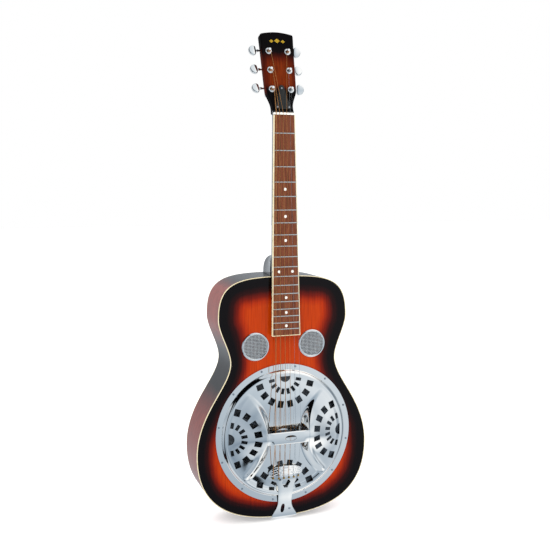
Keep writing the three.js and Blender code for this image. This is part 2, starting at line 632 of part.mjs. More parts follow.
neckFrame.position.set(0, FRONT + NUT_DROP, NUT_Z);
neckFrame.rotation.x = -NECK_ANGLE;
headFrame.position.set(0, FIT / 2, NUT.long + FIT * 2);
headFrame.rotation.x = -HEAD_TILT;
guitar.updateMatrixWorld(true);

const intoNeck = (x, y, z) => neckFrame.worldToLocal(new THREE.Vector3(x, y, z));
const bodyCorner = intoNeck(0, FRONT, BODY_HIGH + FIT);
const bodyEnd = bodyCorner.z;
const bodyEndAt = (y) => bodyEnd + (y - bodyCorner.y) * Math.tan(NECK_ANGLE);
const boardTop = -FIT / 2 - BOARD_THICK;

function headOutline() {
  const start = NUT_WIDTH / 2;
  const shoulder = HEAD_SHOULDER_WIDE / 2;
  const top = HEAD_TOP_WIDE / 2;
  const half = [
    [start, -2], [start - 0.6, 8], [start - 0.2, HEAD_SHOULDER_UP * 0.45],
    [start + 2.6, HEAD_SHOULDER_UP * 0.66], [shoulder - 2.4, HEAD_SHOULDER_UP * 0.9],
    [shoulder, HEAD_SHOULDER_UP], [top - 0.8, HEAD_LENGTH - 22], [top, HEAD_LENGTH - 2],
    [top - 2, HEAD_LENGTH], [top * 0.6, HEAD_LENGTH + HEAD_ARCH * 0.65],
    [top * 0.2, HEAD_LENGTH + HEAD_ARCH * 0.96],
  ];
  return [...half, ...mirrored(half)];
}

function postPlaces() {
  const places = [];
  for (const side of [-1, 1]) {
    for (let row = 0; row < 3; row += 1) {
      places.push({ side, x: side * POST_SIDE, z: POST_FIRST + row * POST_SPACING });
    }
  }
  return places;
}

function neck() {
  const shaft = loft(20, 6, (angle, t) => {
    const start = NUT.long + 4;
    const half = boardWidth(Math.max(t * -bodyEnd - start, 0)) / 2;
    const thick = NECK_THICK_NUT + (NECK_THICK_HEEL - NECK_THICK_NUT) * t - FIT / 2;
    const y = FIT / 2 + (Math.sin(angle) > 0 ? thick * Math.sin(angle) ** 0.85 : 0);
    const centreY = FIT / 2 + thick / 3;
    const z = (at) => start + (bodyEndAt(at) - start) * t;
    return { centre: [0, centreY, z(centreY)], edge: [half * Math.cos(angle), y, z(y)] };
  });
  const heel = loft(20, 6, (angle, t) => {
    const y = FIT / 2 + 4 + (HEEL_DEEP - 4) * t;
    const half = boardWidth(-bodyEnd) / 2 * (1 - t) ** 1.6 + (HEEL.capWide / 2) * (1 - (1 - t) ** 1.6);
    const out = HEEL.capOut + (HEEL.reach - HEEL.capOut) * (1 - t) ** 3.2;
    const base = bodyEndAt(y);
    const rise = Math.sin(angle) > 0 ? out * Math.sin(angle) ** 0.75 : 0;
    return { centre: [0, y, base + out / 4], edge: [half * Math.cos(angle), y, base + rise] };
  });
  const tongueLow = (z) => bodyCorner.y - FIT + (bodyEnd - z) * Math.tan(NECK_ANGLE);
  const tongue = rib([
    [FIT / 2, bodyEnd + 6], [FIT / 2, -BOARD_LENGTH + 1], [tongueLow(-BOARD_LENGTH + 1), -BOARD_LENGTH + 1],
    [tongueLow(bodyEnd), bodyEnd], [tongueLow(bodyEnd), bodyEnd + 6],
  ], boardWidth(-bodyEnd) - 3);
  const head = solid(plate(headOutline(), 0, HEAD_THICK));
  const bores = postPlaces().map(({ x, z }) => (
    solid(rod(BUSHING.radius + FIT * 2, HEAD_THICK * 3, 10)).translate([x, 0, z])));
  const headSolid = cut(head, ...bores);
  const headInNeck = solid(geometryOf(headSolid).applyMatrix4(headFrame.matrix));
  const underNut = solid(block(
    [-NUT_WIDTH, -2, 0],
    [NUT_WIDTH, FIT / 2, NUT.long + FIT * 2],
  ));
  const channelDeep = TRUSS_ROD.deep + TRUSS_ROD.radius + FIT;
  const channel = solid(block(
    [-TRUSS_ROD.radius - FIT, -2, bodyEnd + 12],
    [TRUSS_ROD.radius + FIT, channelDeep, NUT.long + 10],
  ));
  const pocketWide = TRUSS_ROD.nut + 1.5;
  const pocket = solid(block(
    [-pocketWide, -2, NUT.long + 4],
    [pocketWide, TRUSS_ROD.deep + TRUSS_ROD.nut + 1, NUT.long + 32],
  ));
  const wood = cut(join(solid(shaft), solid(heel), headInNeck, solid(tongue)), underNut, channel, pocket);
  add('neck', wood, 'black', neckFrame);

  const rodLength = NUT.long + 6 - bodyEnd - 14;
  const trussRod = rod(TRUSS_ROD.radius, rodLength, 10).rotateX(Math.PI / 2);
  trussRod.translate(0, TRUSS_ROD.deep, bodyEnd + 14 + rodLength / 2);
  add('truss_rod', trussRod, 'steel', neckFrame);
  const nutLow = NUT.long + 6 + FIT;
  const adjuster = rod(TRUSS_ROD.nut, TRUSS_ROD.nutLong, 6).rotateX(Math.PI / 2);
  adjuster.translate(0, TRUSS_ROD.deep, nutLow + TRUSS_ROD.nutLong / 2);
  add('truss_rod_nut', adjuster, 'brass', neckFrame);

  const bell = [
    [COVER_BELL.wide / 2, COVER_BELL.low], [COVER_BELL.wide / 2, COVER_BELL.low + 5],
    [COVER_BELL.wide / 2 - 3, COVER_BELL.low + 14], [COVER_BELL.topWide / 2 + 1.5, COVER_BELL.high - 14],
    [COVER_BELL.topWide / 2, COVER_BELL.high - 5], [COVER_BELL.topWide / 4, COVER_BELL.high],
  ];
  const bellPlate = plate([...bell, ...mirrored(bell)], -COVER_BELL.thick - FIT, -FIT);
  add('truss_rod_cover', bellPlate, 'black', headFrame);
}

function fretboard() {
  const low = -FIT / 2;
  const edge = (down, inset) => boardWidth(down) / 2 - inset;
  const trapezoid = (inset, from, to) => [
    [edge(from, inset), -from], [-edge(from, inset), -from], [-edge(to, inset), -to], [edge(to, inset), -to],
  ];
  const inset = BOARD_BINDING + FIT;
  const inner = BOARD_LENGTH - inset;
  const board = solid(plate(trapezoid(inset, FIT, inner), boardTop, low));
  const frets = Array.from({ length: FRET_COUNT }, (_, i) => {
    const down = fretDistance(i + 1);
    const half = edge(down, inset) - FIT;
    return solid(block(
      [-half, boardTop - FRET.tall, -down - FRET.wide / 2],
      [half, boardTop + 1, -down + FRET.wide / 2],
    ));
  });
  add('fretboard', join(board, ...frets), 'rosewood', neckFrame);
  const outer = solid(plate(trapezoid(0, FIT, BOARD_LENGTH), boardTop, low));
  const inside = trapezoid(BOARD_BINDING, -5, BOARD_LENGTH - BOARD_BINDING);
  const hole = solid(plate(inside, boardTop - 1, low + 1));
  add('fretboard_binding', cut(outer, hole), 'cream', neckFrame);

  const nutTop = boardTop - NUT.above;
  const nutBlock = solid(block([-NUT_WIDTH / 2, nutTop, FIT], [NUT_WIDTH / 2, low, FIT + NUT.long]));
  const slots = STRING_RADII.map((radius, i) => solid(block(
    [stringX(i, NUT_SPREAD) - radius - FIT, nutTop - 1, -2],
    [stringX(i, NUT_SPREAD) + radius + FIT, nutStringY + radius + FIT, NUT.long + 4],
  )));
  add('nut', cut(nutBlock, ...slots), 'bone', neckFrame);
}

// ---------------------------------------------------------------- strings

const stringX = (i, spread) => -spread / 2 + (spread / (STRING_RADII.length - 1)) * i;
const nutStringY = boardTop - FRET.tall - STRING_OVER_FIRST - STRING_RADII[0];
const actionY = boardTop - FRET.tall - ACTION - STRING_RADII[0];
const saddleDown = SCALE_LENGTH + COMPENSATION;
const saddleY = nutStringY + (actionY - nutStringY) * (saddleDown / fretDistance(BODY_FRET));
const saddlePoint = neckFrame.localToWorld(new THREE.Vector3(0, saddleY, -saddleDown));
const saddleHeight = FRONT - saddlePoint.y;
const handrestHeight = saddleHeight + STRING_RADII[0] + HANDREST.overStrings + SHEET;

function strings() {
  const order = [0, 1, 2, 5, 4, 3];
  const places = postPlaces();
  STRING_RADII.forEach((radius, i) => {
    const post = places[order[i]];
    const offset = POST.wrap + radius + FIT;
    const windOut = POST.wrapLow + POST.wrapTall / 2;
    const windAt = new THREE.Vector3(post.x - post.side * offset, -windOut, post.z);
    const anchorHeight = COMB_HEIGHT + 1 + TAILPIECE.sheet + radius + FIT;
    const points = [
      headFrame.localToWorld(windAt),
      neckFrame.localToWorld(new THREE.Vector3(stringX(i, NUT_SPREAD), nutStringY, FIT + NUT.long)),
      neckFrame.localToWorld(new THREE.Vector3(stringX(i, NUT_SPREAD), nutStringY, FIT)),
      new THREE.Vector3(stringX(i, SADDLE_SPREAD), FRONT - saddleHeight, BRIDGE_Z),
      new THREE.Vector3(stringX(i, SADDLE_SPREAD), FRONT - anchorHeight, ANCHOR_Z),
    ];
    add(`string_${6 - i}`, wire(points, radius), i < 4 ? 'bronze' : 'steel');
  });
}

// ---------------------------------------------------------------- tuners

function buttonOutline() {
  const points = [];
  for (let i = 0; i <= 12; i += 1) {
    const turn = -Math.PI / 2 + (i / 12) * Math.PI;
    points.push([BUTTON.long * 0.3 + BUTTON.long * 0.7 * Math.cos(turn), (BUTTON.tall / 2) * Math.sin(turn)]);
  }
  points.push([0, BUTTON.tall * 0.32], [0, -BUTTON.tall * 0.32]);
  return points;
}

function tuners() {
  const wormUp = GEAR.radius + WORM.radius + FIT;
  const geared = HEAD_THICK + FIT + HOUSING.deep / 2;
  const cavity = {
    x: GEAR.radius + FIT * 3,
    low: -GEAR.radius - FIT * 3,
    high: wormUp + WORM.radius + FIT * 3,
  };
  postPlaces().forEach(({ side, x, z }, i) => {
    const number = i + 1;
    const seat = new THREE.Group();
    seat.position.set(x, 0, z);
    headFrame.add(seat);

    const gearBack = -geared - GEAR.thick / 2;
    const post = turned([
      [0, gearBack], [GEAR.radius, gearBack], [GEAR.radius, gearBack + GEAR.thick],
      [POST.radius, gearBack + GEAR.thick], [POST.radius, POST.wrapLow], [POST.wrap, POST.wrapLow],
      [POST.wrap, POST.wrapLow + POST.wrapTall], [POST.waist, POST.wrapLow + POST.wrapTall],
      [POST.waist, POST.above - 3.5], [POST.radius, POST.above - 2.5], [POST.radius, POST.above - 0.6],
      [POST.radius - 0.6, POST.above], [0, POST.above],
    ], 10);
    add(`tuner_post_${number}`, post, 'chrome', seat);

    const bushing = turned([
      [BUSHING.bore, -HEAD_THICK / 2], [BUSHING.radius, -HEAD_THICK / 2], [BUSHING.radius, FIT],
      [BUSHING.flange, FIT], [BUSHING.flange, BUSHING.flangeTall], [BUSHING.bore + 1, BUSHING.flangeTall + 0.8],
      [BUSHING.bore, BUSHING.flangeTall + 0.8], [BUSHING.bore, -HEAD_THICK / 2],
    ], 10);
    add(`tuner_bushing_${number}`, bushing, 'chrome', seat);

    const low = HEAD_THICK + FIT;
    const box = solid(block(
      [-cavity.x - HOUSING.wall, low, cavity.low - HOUSING.wall],
      [cavity.x + HOUSING.wall, low + HOUSING.deep, cavity.high + HOUSING.wall],
    ));
    const hollow = solid(block(
      [-cavity.x, low - 1, cavity.low],
      [cavity.x, low + HOUSING.deep - HOUSING.wall, cavity.high],
    ));
    const shaftHole = solid(rod(SHAFT_RADIUS + FIT, 30, 10).rotateZ(Math.PI / 2))
      .translate([side * 15, geared, wormUp]);
    add(`tuner_housing_${number}`, cut(box, hollow, shaftHole), 'chrome', seat);

    const edge = HEAD_TOP_WIDE / 2 - POST_SIDE + BUTTON.stand;
    const worm = solid(rod(WORM.radius, WORM.long, 10).rotateZ(Math.PI / 2));
    const shaft = solid(rod(SHAFT_RADIUS, edge + 1, 10).rotateZ(Math.PI / 2)).translate([edge / 2, 0, 0]);
    const grip = solid(plate(buttonOutline(), -BUTTON.thick / 2, BUTTON.thick / 2)).translate([edge, 0, 0]);
    const turner = join(worm, shaft, grip).scale([side, 1, 1]);
    add(`tuner_shaft_${number}`, turner, 'chrome', seat).position.set(0, geared, wormUp);
  });
}

bodyShell();
soundwell();
screens();
resonator();
coverplate();
tailpiece();
neck();
fretboard();
strings();
tuners();

export default guitar;
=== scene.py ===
"""A round-neck resonator guitar: wooden body, pressed coverplate over a spun cone, geared tuners."""
import json
import math

import bmesh
import bpy
from mathutils import Matrix, Vector, geometry, kdtree


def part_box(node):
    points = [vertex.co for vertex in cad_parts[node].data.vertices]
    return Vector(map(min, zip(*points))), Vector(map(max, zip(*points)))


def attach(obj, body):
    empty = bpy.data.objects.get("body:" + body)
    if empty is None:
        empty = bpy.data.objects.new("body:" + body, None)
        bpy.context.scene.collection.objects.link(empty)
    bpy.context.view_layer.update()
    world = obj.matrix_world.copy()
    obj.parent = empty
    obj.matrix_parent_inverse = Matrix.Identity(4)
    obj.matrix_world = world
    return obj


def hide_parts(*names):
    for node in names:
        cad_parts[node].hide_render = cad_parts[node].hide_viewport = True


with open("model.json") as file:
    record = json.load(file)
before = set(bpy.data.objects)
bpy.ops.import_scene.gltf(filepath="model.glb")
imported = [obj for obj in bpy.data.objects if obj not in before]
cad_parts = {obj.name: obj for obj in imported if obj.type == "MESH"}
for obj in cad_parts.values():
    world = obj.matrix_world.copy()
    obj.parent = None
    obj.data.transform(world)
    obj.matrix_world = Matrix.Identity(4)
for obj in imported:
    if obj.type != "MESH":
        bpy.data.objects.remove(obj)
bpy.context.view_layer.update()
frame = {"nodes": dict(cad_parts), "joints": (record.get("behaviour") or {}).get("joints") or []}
scene = bpy.context.scene
scene.view_settings.view_transform = "Standard"
MM = 0.001

# ---------------------------------------------------------------- camera
# A long lens a metre and a half in front of the guitar, to its bass side and above the bridge,
# looking slightly down.

EYE = Vector((-0.5322, -1.5610, 0.6759))
ROLL_RIGHT = Vector((0.9469, -0.3215, -0.0016))
ROLL_DOWN = Vector((-0.0347, -0.0968, -0.9947))
LENS_WIDTHS = 1.4613

lens = bpy.data.cameras.new("camera")
lens.sensor_width = 36.0
lens.lens = LENS_WIDTHS * lens.sensor_width
camera = bpy.data.objects.new("camera", lens)
scene.collection.objects.link(camera)
forward = ROLL_RIGHT.cross(ROLL_DOWN).normalized()
turn = Matrix((ROLL_RIGHT, -ROLL_DOWN, -forward)).transposed()
camera.matrix_world = Matrix.Translation(EYE) @ turn.to_4x4()
scene.camera = camera


# ---------------------------------------------------------------- studio
# A pale floor, soft even light, and a studio of cards that only polished surfaces see: pale
# above, below and behind, blue-grey in front, with three black cards that draw the dark lines.


def linear(colour):
    """An sRGB hex colour as linear red, green, blue and alpha."""
    parts = [int(colour[i:i + 2], 16) / 255 for i in (1, 3, 5)]
    return [c / 12.92 if c <= 0.04045 else ((c + 0.055) / 1.055) ** 2.4 for c in parts] + [1.0]


def add_node(material, kind, values=None, links=None, stops=None, **settings):
    """One node with its settings, the values and links of its sockets, and a ramp's stops."""
    node = material.node_tree.nodes.new("ShaderNode" + kind)
    for key, value in settings.items():
        setattr(node, key, value)
    for key, value in (values or {}).items():
        node.inputs[key].default_value = value
    for key, socket in (links or {}).items():
        material.node_tree.links.new(socket, node.inputs[key])
    if stops:
        elements = node.color_ramp.elements
        while len(elements) < len(stops):
            elements.new(0.5)
        for element, (place, colour) in zip(elements, stops):
            element.position = place
            element.color = linear(colour)
    return node


def stage_object(name, shape, material):
    mesh = bpy.data.meshes.new(name)
    shape.to_mesh(mesh)
    shape.free()
    mesh.materials.append(material)
    obj = bpy.data.objects.new(name, mesh)
    scene.collection.objects.link(obj)
    return obj


def multiplied(material, first, second, amount=1.0):
    """One colour multiplied by another."""
    return add_node(material, "Mix", {0: amount}, {6: first, 7: second}, data_type="RGBA",
                    blend_type="MULTIPLY").outputs[2]


def card(material, mask, colour):
    """White, with that colour where the mask is 1."""
    return add_node(material, "Mix", {6: linear("#ffffff")}, {0: mask, 7: colour},
                    data_type="RGBA").outputs[2]


FLOOR_SIZE = 14.0
STUDIO_RADIUS = 5.0
PAPER_GLOW = 0.35
CARD_GLOW = 1.13
SLANT_UP = (0.57, 0, -0.82)
SLANT_ALONG = (-0.82, 0, -0.57)

paper = bpy.data.materials.new("studio_paper")
paper.use_nodes = True
for key, value in (("Base Color", linear("#ffffff")), ("Roughness", 0.9),
                   ("Emission Color", linear("#ffffff")), ("Emission Strength", PAPER_GLOW)):
    paper.node_tree.nodes["Principled BSDF"].inputs[key].default_value = value
bm = bmesh.new()
bmesh.ops.create_grid(bm, x_segments=1, y_segments=1, size=FLOOR_SIZE)
floor = stage_object("floor", bm, paper)
floor.visible_glossy = False

cards = bpy.data.materials.new("studio_cards")
cards.use_nodes = True
cards.node_tree.nodes.clear()
# The sphere's normals point inwards, so each range or axis is turned round: height and across run
# from 0 at the floor and the bass side to 1 overhead and at the treble side.
place = add_node(cards, "NewGeometry")
aim = add_node(cards, "SeparateXYZ", links={0: place.outputs["Normal"]})
height = add_node(cards, "MapRange", {1: 1.0, 2: -1.0}, {0: aim.outputs["Z"]})
tall = add_node(cards, "ValToRGB", links={0: height.outputs[0]}, stops=[
    (0.10, "#ffffff"), (0.17, "#e6ebef"), (0.28, "#a9b5c1"), (0.40, "#ccd5dd"),
    (0.50, "#dbe1e7"), (0.62, "#c0cad3"), (0.74, "#eef1f4"), (0.84, "#ffffff")])
across = add_node(cards, "MapRange", {1: 1.0, 2: -1.0}, {0: aim.outputs["X"]})
# An upright black card stands far out on the bass side.
wide = add_node(cards, "ValToRGB", links={0: across.outputs[0]}, stops=[
    (0.06, "#c9d0d7"), (0.08, "#08090a"), (0.13, "#08090a"), (0.15, "#c9d0d7"), (0.48, "#b3bec9"),
    (0.60, "#d2dae1"), (0.68, "#eef1f4"), (0.86, "#f8f9fa"), (0.97, "#9aa4ae")])
near = multiplied(cards, tall.outputs[0], wide.outputs[0])
# A small black card lies low in front, a little to the treble side.
low_card = add_node(cards, "ValToRGB", links={0: height.outputs[0]}, stops=[
    (0.228, "#ffffff"), (0.235, "#101214"), (0.285, "#08090a"), (0.292, "#ffffff")])
low_mask = add_node(cards, "ValToRGB", links={0: across.outputs[0]}, stops=[
    (0.545, "#000000"), (0.555, "#ffffff"), (0.600, "#ffffff"), (0.612, "#000000")])
shaded = multiplied(cards, near, card(cards, low_mask.outputs[0], low_card.outputs[0]))
# A broad black card hangs at a slant, high on the bass side.
up_slant, along_slant = (add_node(cards, "VectorMath", {1: axis}, {0: place.outputs["Normal"]},
                                  operation="DOT_PRODUCT") for axis in (SLANT_UP, SLANT_ALONG))
sweep = add_node(cards, "MapRange", {1: -1.0, 2: 1.0}, {0: along_slant.outputs["Value"]})
slant_card = add_node(cards, "ValToRGB", links={0: sweep.outputs[0]}, stops=[
    (0.34, "#ffffff"), (0.35, "#060607"), (0.67, "#060607"), (0.68, "#ffffff")])
slant_mask = add_node(cards, "MapRange", {1: 0.33, 2: 0.36}, {0: up_slant.outputs["Value"]})
flagged = multiplied(cards, shaded, card(cards, slant_mask.outputs[0], slant_card.outputs[0]))
behind = add_node(cards, "MapRange", {1: -0.1, 2: -0.45}, {0: aim.outputs["Y"]})
around = add_node(cards, "Mix", {7: linear("#c4cad0")}, {0: behind.outputs[0], 6: flagged}, data_type="RGBA")
glow = add_node(cards, "Emission", {"Strength": CARD_GLOW}, {"Color": around.outputs[2]})
add_node(cards, "OutputMaterial", links={0: glow.outputs[0]})
cards.cycles.emission_sampling = "NONE"
bm = bmesh.new()
bmesh.ops.create_icosphere(bm, subdivisions=5, radius=STUDIO_RADIUS)
bmesh.ops.reverse_faces(bm, faces=bm.faces)
for face in bm.faces:
    face.smooth = True
studio = stage_object("studio_cards", bm, cards)
for ray in ("camera", "diffuse", "transmission", "volume_scatter", "shadow"):
    setattr(studio, "visible_" + ray, False)

world = bpy.data.worlds.new("daylight")
world.use_nodes = True
world.node_tree.nodes["Background"].inputs["Color"].default_value = linear("#ffffff")
world.node_tree.nodes["Background"].inputs["Strength"].default_value = 1.0
scene.world = world


def soft_light(name, at, watts, size):
    data = bpy.data.lights.new(name, "AREA")
    data.energy = watts
    data.size = size
    light = bpy.data.objects.new(name, data)
    light.location = at
    light.rotation_euler = (Vector((0, 0, 0.45)) - Vector(at)).to_track_quat("-Z", "Y").to_euler()
    light.visible_glossy = False
    scene.collection.objects.link(light)


soft_light("key", (-1.2, -2.2, 2.4), 35, 1.6)
soft_light("back", (1.5, 2.0, 1.8), 18, 1.6)


# ---------------------------------------------------------------- body outline
# The body is a twelve-fret outline: a wide lower bout, a waist and a smaller upper bout. Each half
# is four smooth spans, and the plates, ribs and bindings are all cut from it.

def box(node):
    """A node's lowest and highest corners in millimetres."""
    low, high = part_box(node)
    return low / MM, high / MM


WAIST = 224
UPPER_BOUT = 273
LOWER_BOUT_UP = 142
WAIST_DOWN = 172
UPPER_BOUT_DOWN = 84
SPAN_STEPS = 36

rim_low, rim_high = box("top_binding")
FRONT = rim_low.y
BACK = box("back_binding")[1].y
BODY_LOW, BODY_HIGH = rim_low.z, rim_high.z
LOWER_BOUT = rim_high.x * 2


def outline(inset=0.0):
    """The whole outline as x and z, drawn in by inset."""
    lower, waist, upper = LOWER_BOUT / 2, WAIST / 2, UPPER_BOUT / 2
    low_z, waist_z, high_z = BODY_LOW + LOWER_BOUT_UP, BODY_HIGH - WAIST_DOWN, BODY_HIGH - UPPER_BOUT_DOWN
    below, above = waist_z - low_z, high_z - waist_z
    spans = [
        [(0, BODY_LOW), (lower * 0.4, BODY_LOW), (lower, low_z - LOWER_BOUT_UP * 0.9), (lower, low_z)],
        [(lower, low_z), (lower, low_z + below * 0.48), (waist, waist_z - below * 0.25), (waist, waist_z)],
        [(waist, waist_z), (waist, waist_z + above * 0.3), (upper, high_z - above * 0.3), (upper, high_z)],
        [(upper, high_z), (upper, high_z + UPPER_BOUT_DOWN * 0.9), (upper * 0.72, BODY_HIGH), (0, BODY_HIGH)],
    ]
    half = []
    for span in spans:
        knots = [Vector((x, z, 0)) for x, z in span]
        half += geometry.interpolate_bezier(*knots, SPAN_STEPS)[1 if half else 0:]
    loop = half + [Vector((-p.x, p.y, 0)) for p in reversed(half[1:-1])]
    points = []
    for i, point in enumerate(loop):
        along = (loop[(i + 1) % len(loop)] - loop[i - 1]).normalized()
        points.append((point.x - along.y * inset, point.y + along.x * inset))
    return points


def thicken(shape, depth):
    """Gives a flat shape that depth along y."""
    made = bmesh.ops.extrude_face_region(shape, geom=shape.faces[:])["geom"]
    verts = [v for v in made if isinstance(v, bmesh.types.BMVert)]
    bmesh.ops.translate(shape, verts=verts, vec=(0, depth, 0))
    bmesh.ops.recalc_face_normals(shape, faces=shape.faces)
    return shape


def sheet(points, low, high):
    """A flat piece with that outline in x and z, from y = low to y = high."""
    shape = bmesh.new()
    shape.faces.new([shape.verts.new((x, low, z)) for x, z in points])
    return thicken(shape, high - low)


def soften(shape, width, segments=2, angle=35):
    """Rounds every edge sharper than angle, as a file or a buffing wheel does."""
    limit = math.radians(angle)
    edges = [e for e in shape.edges if e.is_manifold and e.calc_face_angle(0) > limit]
    bmesh.ops.bevel(shape, geom=edges, offset=width, affect="EDGES", segments=segments, profile=0.5,
                    material=-1, clamp_overlap=True)
    return shape


def placed(shape, matrix):
    """The shape, moved and turned by a matrix."""
    bmesh.ops.transform(shape, matrix=matrix, verts=shape.verts)
    return shape


def add_piece(name, shape, material, body="guitar", stands_for=(), slot=None, at=None, angle=35):
    """Turns a shape in millimetres into a finished piece in metres that rides on its body."""
    if at is not None:
        placed(shape, at)
    bmesh.ops.scale(shape, vec=(MM, MM, MM), verts=shape.verts)
    mesh = bpy.data.meshes.new(name)
    shape.to_mesh(mesh)
    shape.free()
    mesh.shade_smooth()
    mesh.set_sharp_from_angle(angle=math.radians(angle))
    mesh.materials.append(material)
    obj = bpy.data.objects.new(name, mesh)
    scene.collection.objects.link(obj)
    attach(obj, body)
    if stands_for:
        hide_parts(*stands_for)
    return obj


def surface(name, colour, metallic=0.0, roughness=0.5, coat=0.0, ior=1.5, sheen=0.5):
    """A new material with one shader, whose even values are set on its own sockets."""
    material = bpy.data.materials.new(name)
    material.use_nodes = True
    shader = material.node_tree.nodes["Principled BSDF"]
    values = {"Base Color": linear(colour), "Metallic": metallic, "Roughness": roughness,
              "Coat Weight": coat, "Coat Roughness": 0.03}
    if not metallic:
        values["IOR"] = ior
        values["Specular IOR Level"] = sheen
    for key, value in values.items():
        shader.inputs[key].default_value = value
    return material, shader


def grain(material, size, detail=5.0):
    """Noise stretched to size, in millimetres, read from the object's own coordinates."""
    where = add_node(material, "TexCoord")
    fit = add_node(material, "Mapping", {"Scale": [1 / (s * MM) for s in size]},
                   {"Vector": where.outputs["Object"]})
    return add_node(material, "TexNoise", {"Scale": 1.0, "Detail": detail},
                    {"Vector": fit.outputs[0]}).outputs[0]


def colour_by(material, shader, factor, stops):
    """Colours a material by a ramp over a factor."""
    ramp = add_node(material, "ValToRGB", links={0: factor}, stops=stops)
    material.node_tree.links.new(ramp.outputs[0], shader.inputs["Base Color"])


def mottled(name, colour, size, low, high, detail=5.0, **looks):
    """A material whose colour drifts between two tones in patches of that size."""
    material, shader = surface(name, colour, **looks)
    colour_by(material, shader, grain(material, size, detail), [(0.3, low), (0.7, high)])
    return material


def clouded(material, value, size, amount, detail=2.0):
    """A value that drifts up and down by amount in soft patches of that size."""
    drift = add_node(material, "MapRange", {3: -amount, 4: amount}, {0: grain(material, size, detail)})
    return add_node(material, "Math", links={0: value, 1: drift.outputs[0]}).outputs[0]


def wood_colour(material, shader, factor, stops, fibre_size, fibre_stops, amount=0.8):
    """Sprayed lacquer: a ramp over a factor, seen over fine straight fibre."""
    tint = add_node(material, "ValToRGB", links={0: factor}, stops=stops)
    fibre = add_node(material, "ValToRGB", links={0: grain(material, fibre_size)}, stops=fibre_stops)
    wood = multiplied(material, tint.outputs[0], fibre.outputs[0], amount)
    material.node_tree.links.new(wood, shader.inputs["Base Color"])


def bump(material, shader, factor, distance, strength=1.0):
    """Relief of that height in millimetres."""
    relief = add_node(material, "Bump", {"Strength": strength, "Distance": distance * MM},
                      {"Height": factor})
    material.node_tree.links.new(relief.outputs[0], shader.inputs["Normal"])


# ---------------------------------------------------------------- top
# The mahogany plywood top has a round well opening and two screen holes. Its gloss lacquer is
# sprayed from black at the edge through deep red to orange, over straight upright grain.

BINDING_THICK = 1.6
FIT = 0.3
TOP_THICK = 4
GRID = 6
WELL_RADIUS = 138
SCREEN_HOLE = 26.8
BURST_LOWER = 46
BURST_UPPER = 60
BURST_TREBLE = 14

cover_low, cover_high = box("coverplate")
COVER_RADIUS = cover_high.x
BRIDGE_Z = (cover_low.z + cover_high.z) / 2
screens = {side: sum(box("screen_ring_" + side), Vector()) / 2 for side in ("bass", "treble")}


def gridded(shape, step, low, high):
    """Adds straight cuts every step millimetres in x and z, so that the sheet can be shaped."""
    for axis, normal in ((0, (1, 0, 0)), (2, (0, 0, 1))):
        for k in range(math.ceil(low[axis] / step), math.floor(high[axis] / step) + 1):
            at = [0.0, 0.0, 0.0]
            at[axis] = k * step + 0.01
            every = shape.verts[:] + shape.edges[:] + shape.faces[:]
            bmesh.ops.bisect_plane(shape, geom=every, plane_co=at, plane_no=normal, dist=0.001)
    return shape


def arc(x, z, wide, tall, angles):
    """Points of a round or oval arc about x and z."""
    return [(x + wide * math.cos(a), z + tall * math.sin(a)) for a in angles]


def cylinder(radius, low, high, x=0.0, z=0.0, steps=96):
    """A round cutter or disc whose axis runs along y."""
    return sheet(arc(x, z, radius, radius, [math.tau * i / steps for i in range(steps)]), low, high)


def joined(shapes):
    """Several shapes as one."""
    whole = bmesh.new()
    for shape in shapes:
        part = bpy.data.meshes.new("part")
        shape.to_mesh(part)
        shape.free()
        whole.from_mesh(part)
        bpy.data.meshes.remove(part)
    return whole


def carved(shape, cutter):
    """The shape with the cutter's volume taken out."""
    objects = []
    for name, part in (("blank", shape), ("cutter", cutter)):
        mesh = bpy.data.meshes.new(name)
        part.to_mesh(mesh)
        part.free()
        objects.append(bpy.data.objects.new(name, mesh))
        scene.collection.objects.link(objects[-1])
    tool = objects[0].modifiers.new("carve", "BOOLEAN")
    tool.operation = "DIFFERENCE"
    tool.solver = "EXACT"
    tool.object = objects[1]
    ready = objects[0].evaluated_get(bpy.context.evaluated_depsgraph_get())
    result = bmesh.new()
    result.from_mesh(ready.data)
    for obj in objects:
        mesh = obj.data
        bpy.data.objects.remove(obj)
        bpy.data.meshes.remove(mesh)
    return result


edge_tree = kdtree.KDTree(len(outline()))
for i, (x, z) in enumerate(outline()):
    edge_tree.insert((x, 0, z), i)
edge_tree.balance()


def mark_burst(obj):
    """Stores how far each point is into the burst: 0 at the body's edge, 1 where it is fully orange."""
    marks = obj.data.attributes.new("burst", "FLOAT", "POINT")
    for vertex, mark in zip(obj.data.vertices, marks.data):
        x, z = vertex.co.x / MM, vertex.co.z / MM
        up = min(max((z - (BODY_HIGH - WAIST_DOWN)) / 70, 0), 1)
        reach = BURST_LOWER + (BURST_UPPER - BURST_LOWER) * up * up * (3 - 2 * up)
        reach += BURST_TREBLE * max(x / LOWER_BOUT * 2, 0) * (1 - up)
        mark.value = edge_tree.find((x, 0, z))[2] / reach


# Deep glossy lacquer: black soaks in at the edge, and the wood glows orange towards the middle.
burst, shader = surface("nitro_sunburst_lacquer", "#c23c08", roughness=0.4, coat=0.35, sheen=0.0)
spread = add_node(burst, "Attribute", attribute_name="burst")
wood_colour(burst, shader, clouded(burst, spread.outputs["Fac"], (30, 30, 60), 0.07),
            [(0.0, "#060405"), (0.3, "#0a0405"), (0.48, "#2a0604"), (0.66, "#6e1403"), (0.84, "#a82d02"),
             (1.0, "#b63a03")],
            (1.6, 8, 70), [(0.3, "#b5a9a4"), (0.5, "#e8e2de"), (0.7, "#ffffff")], 0.75)

plate_inset = BINDING_THICK + FIT / 3


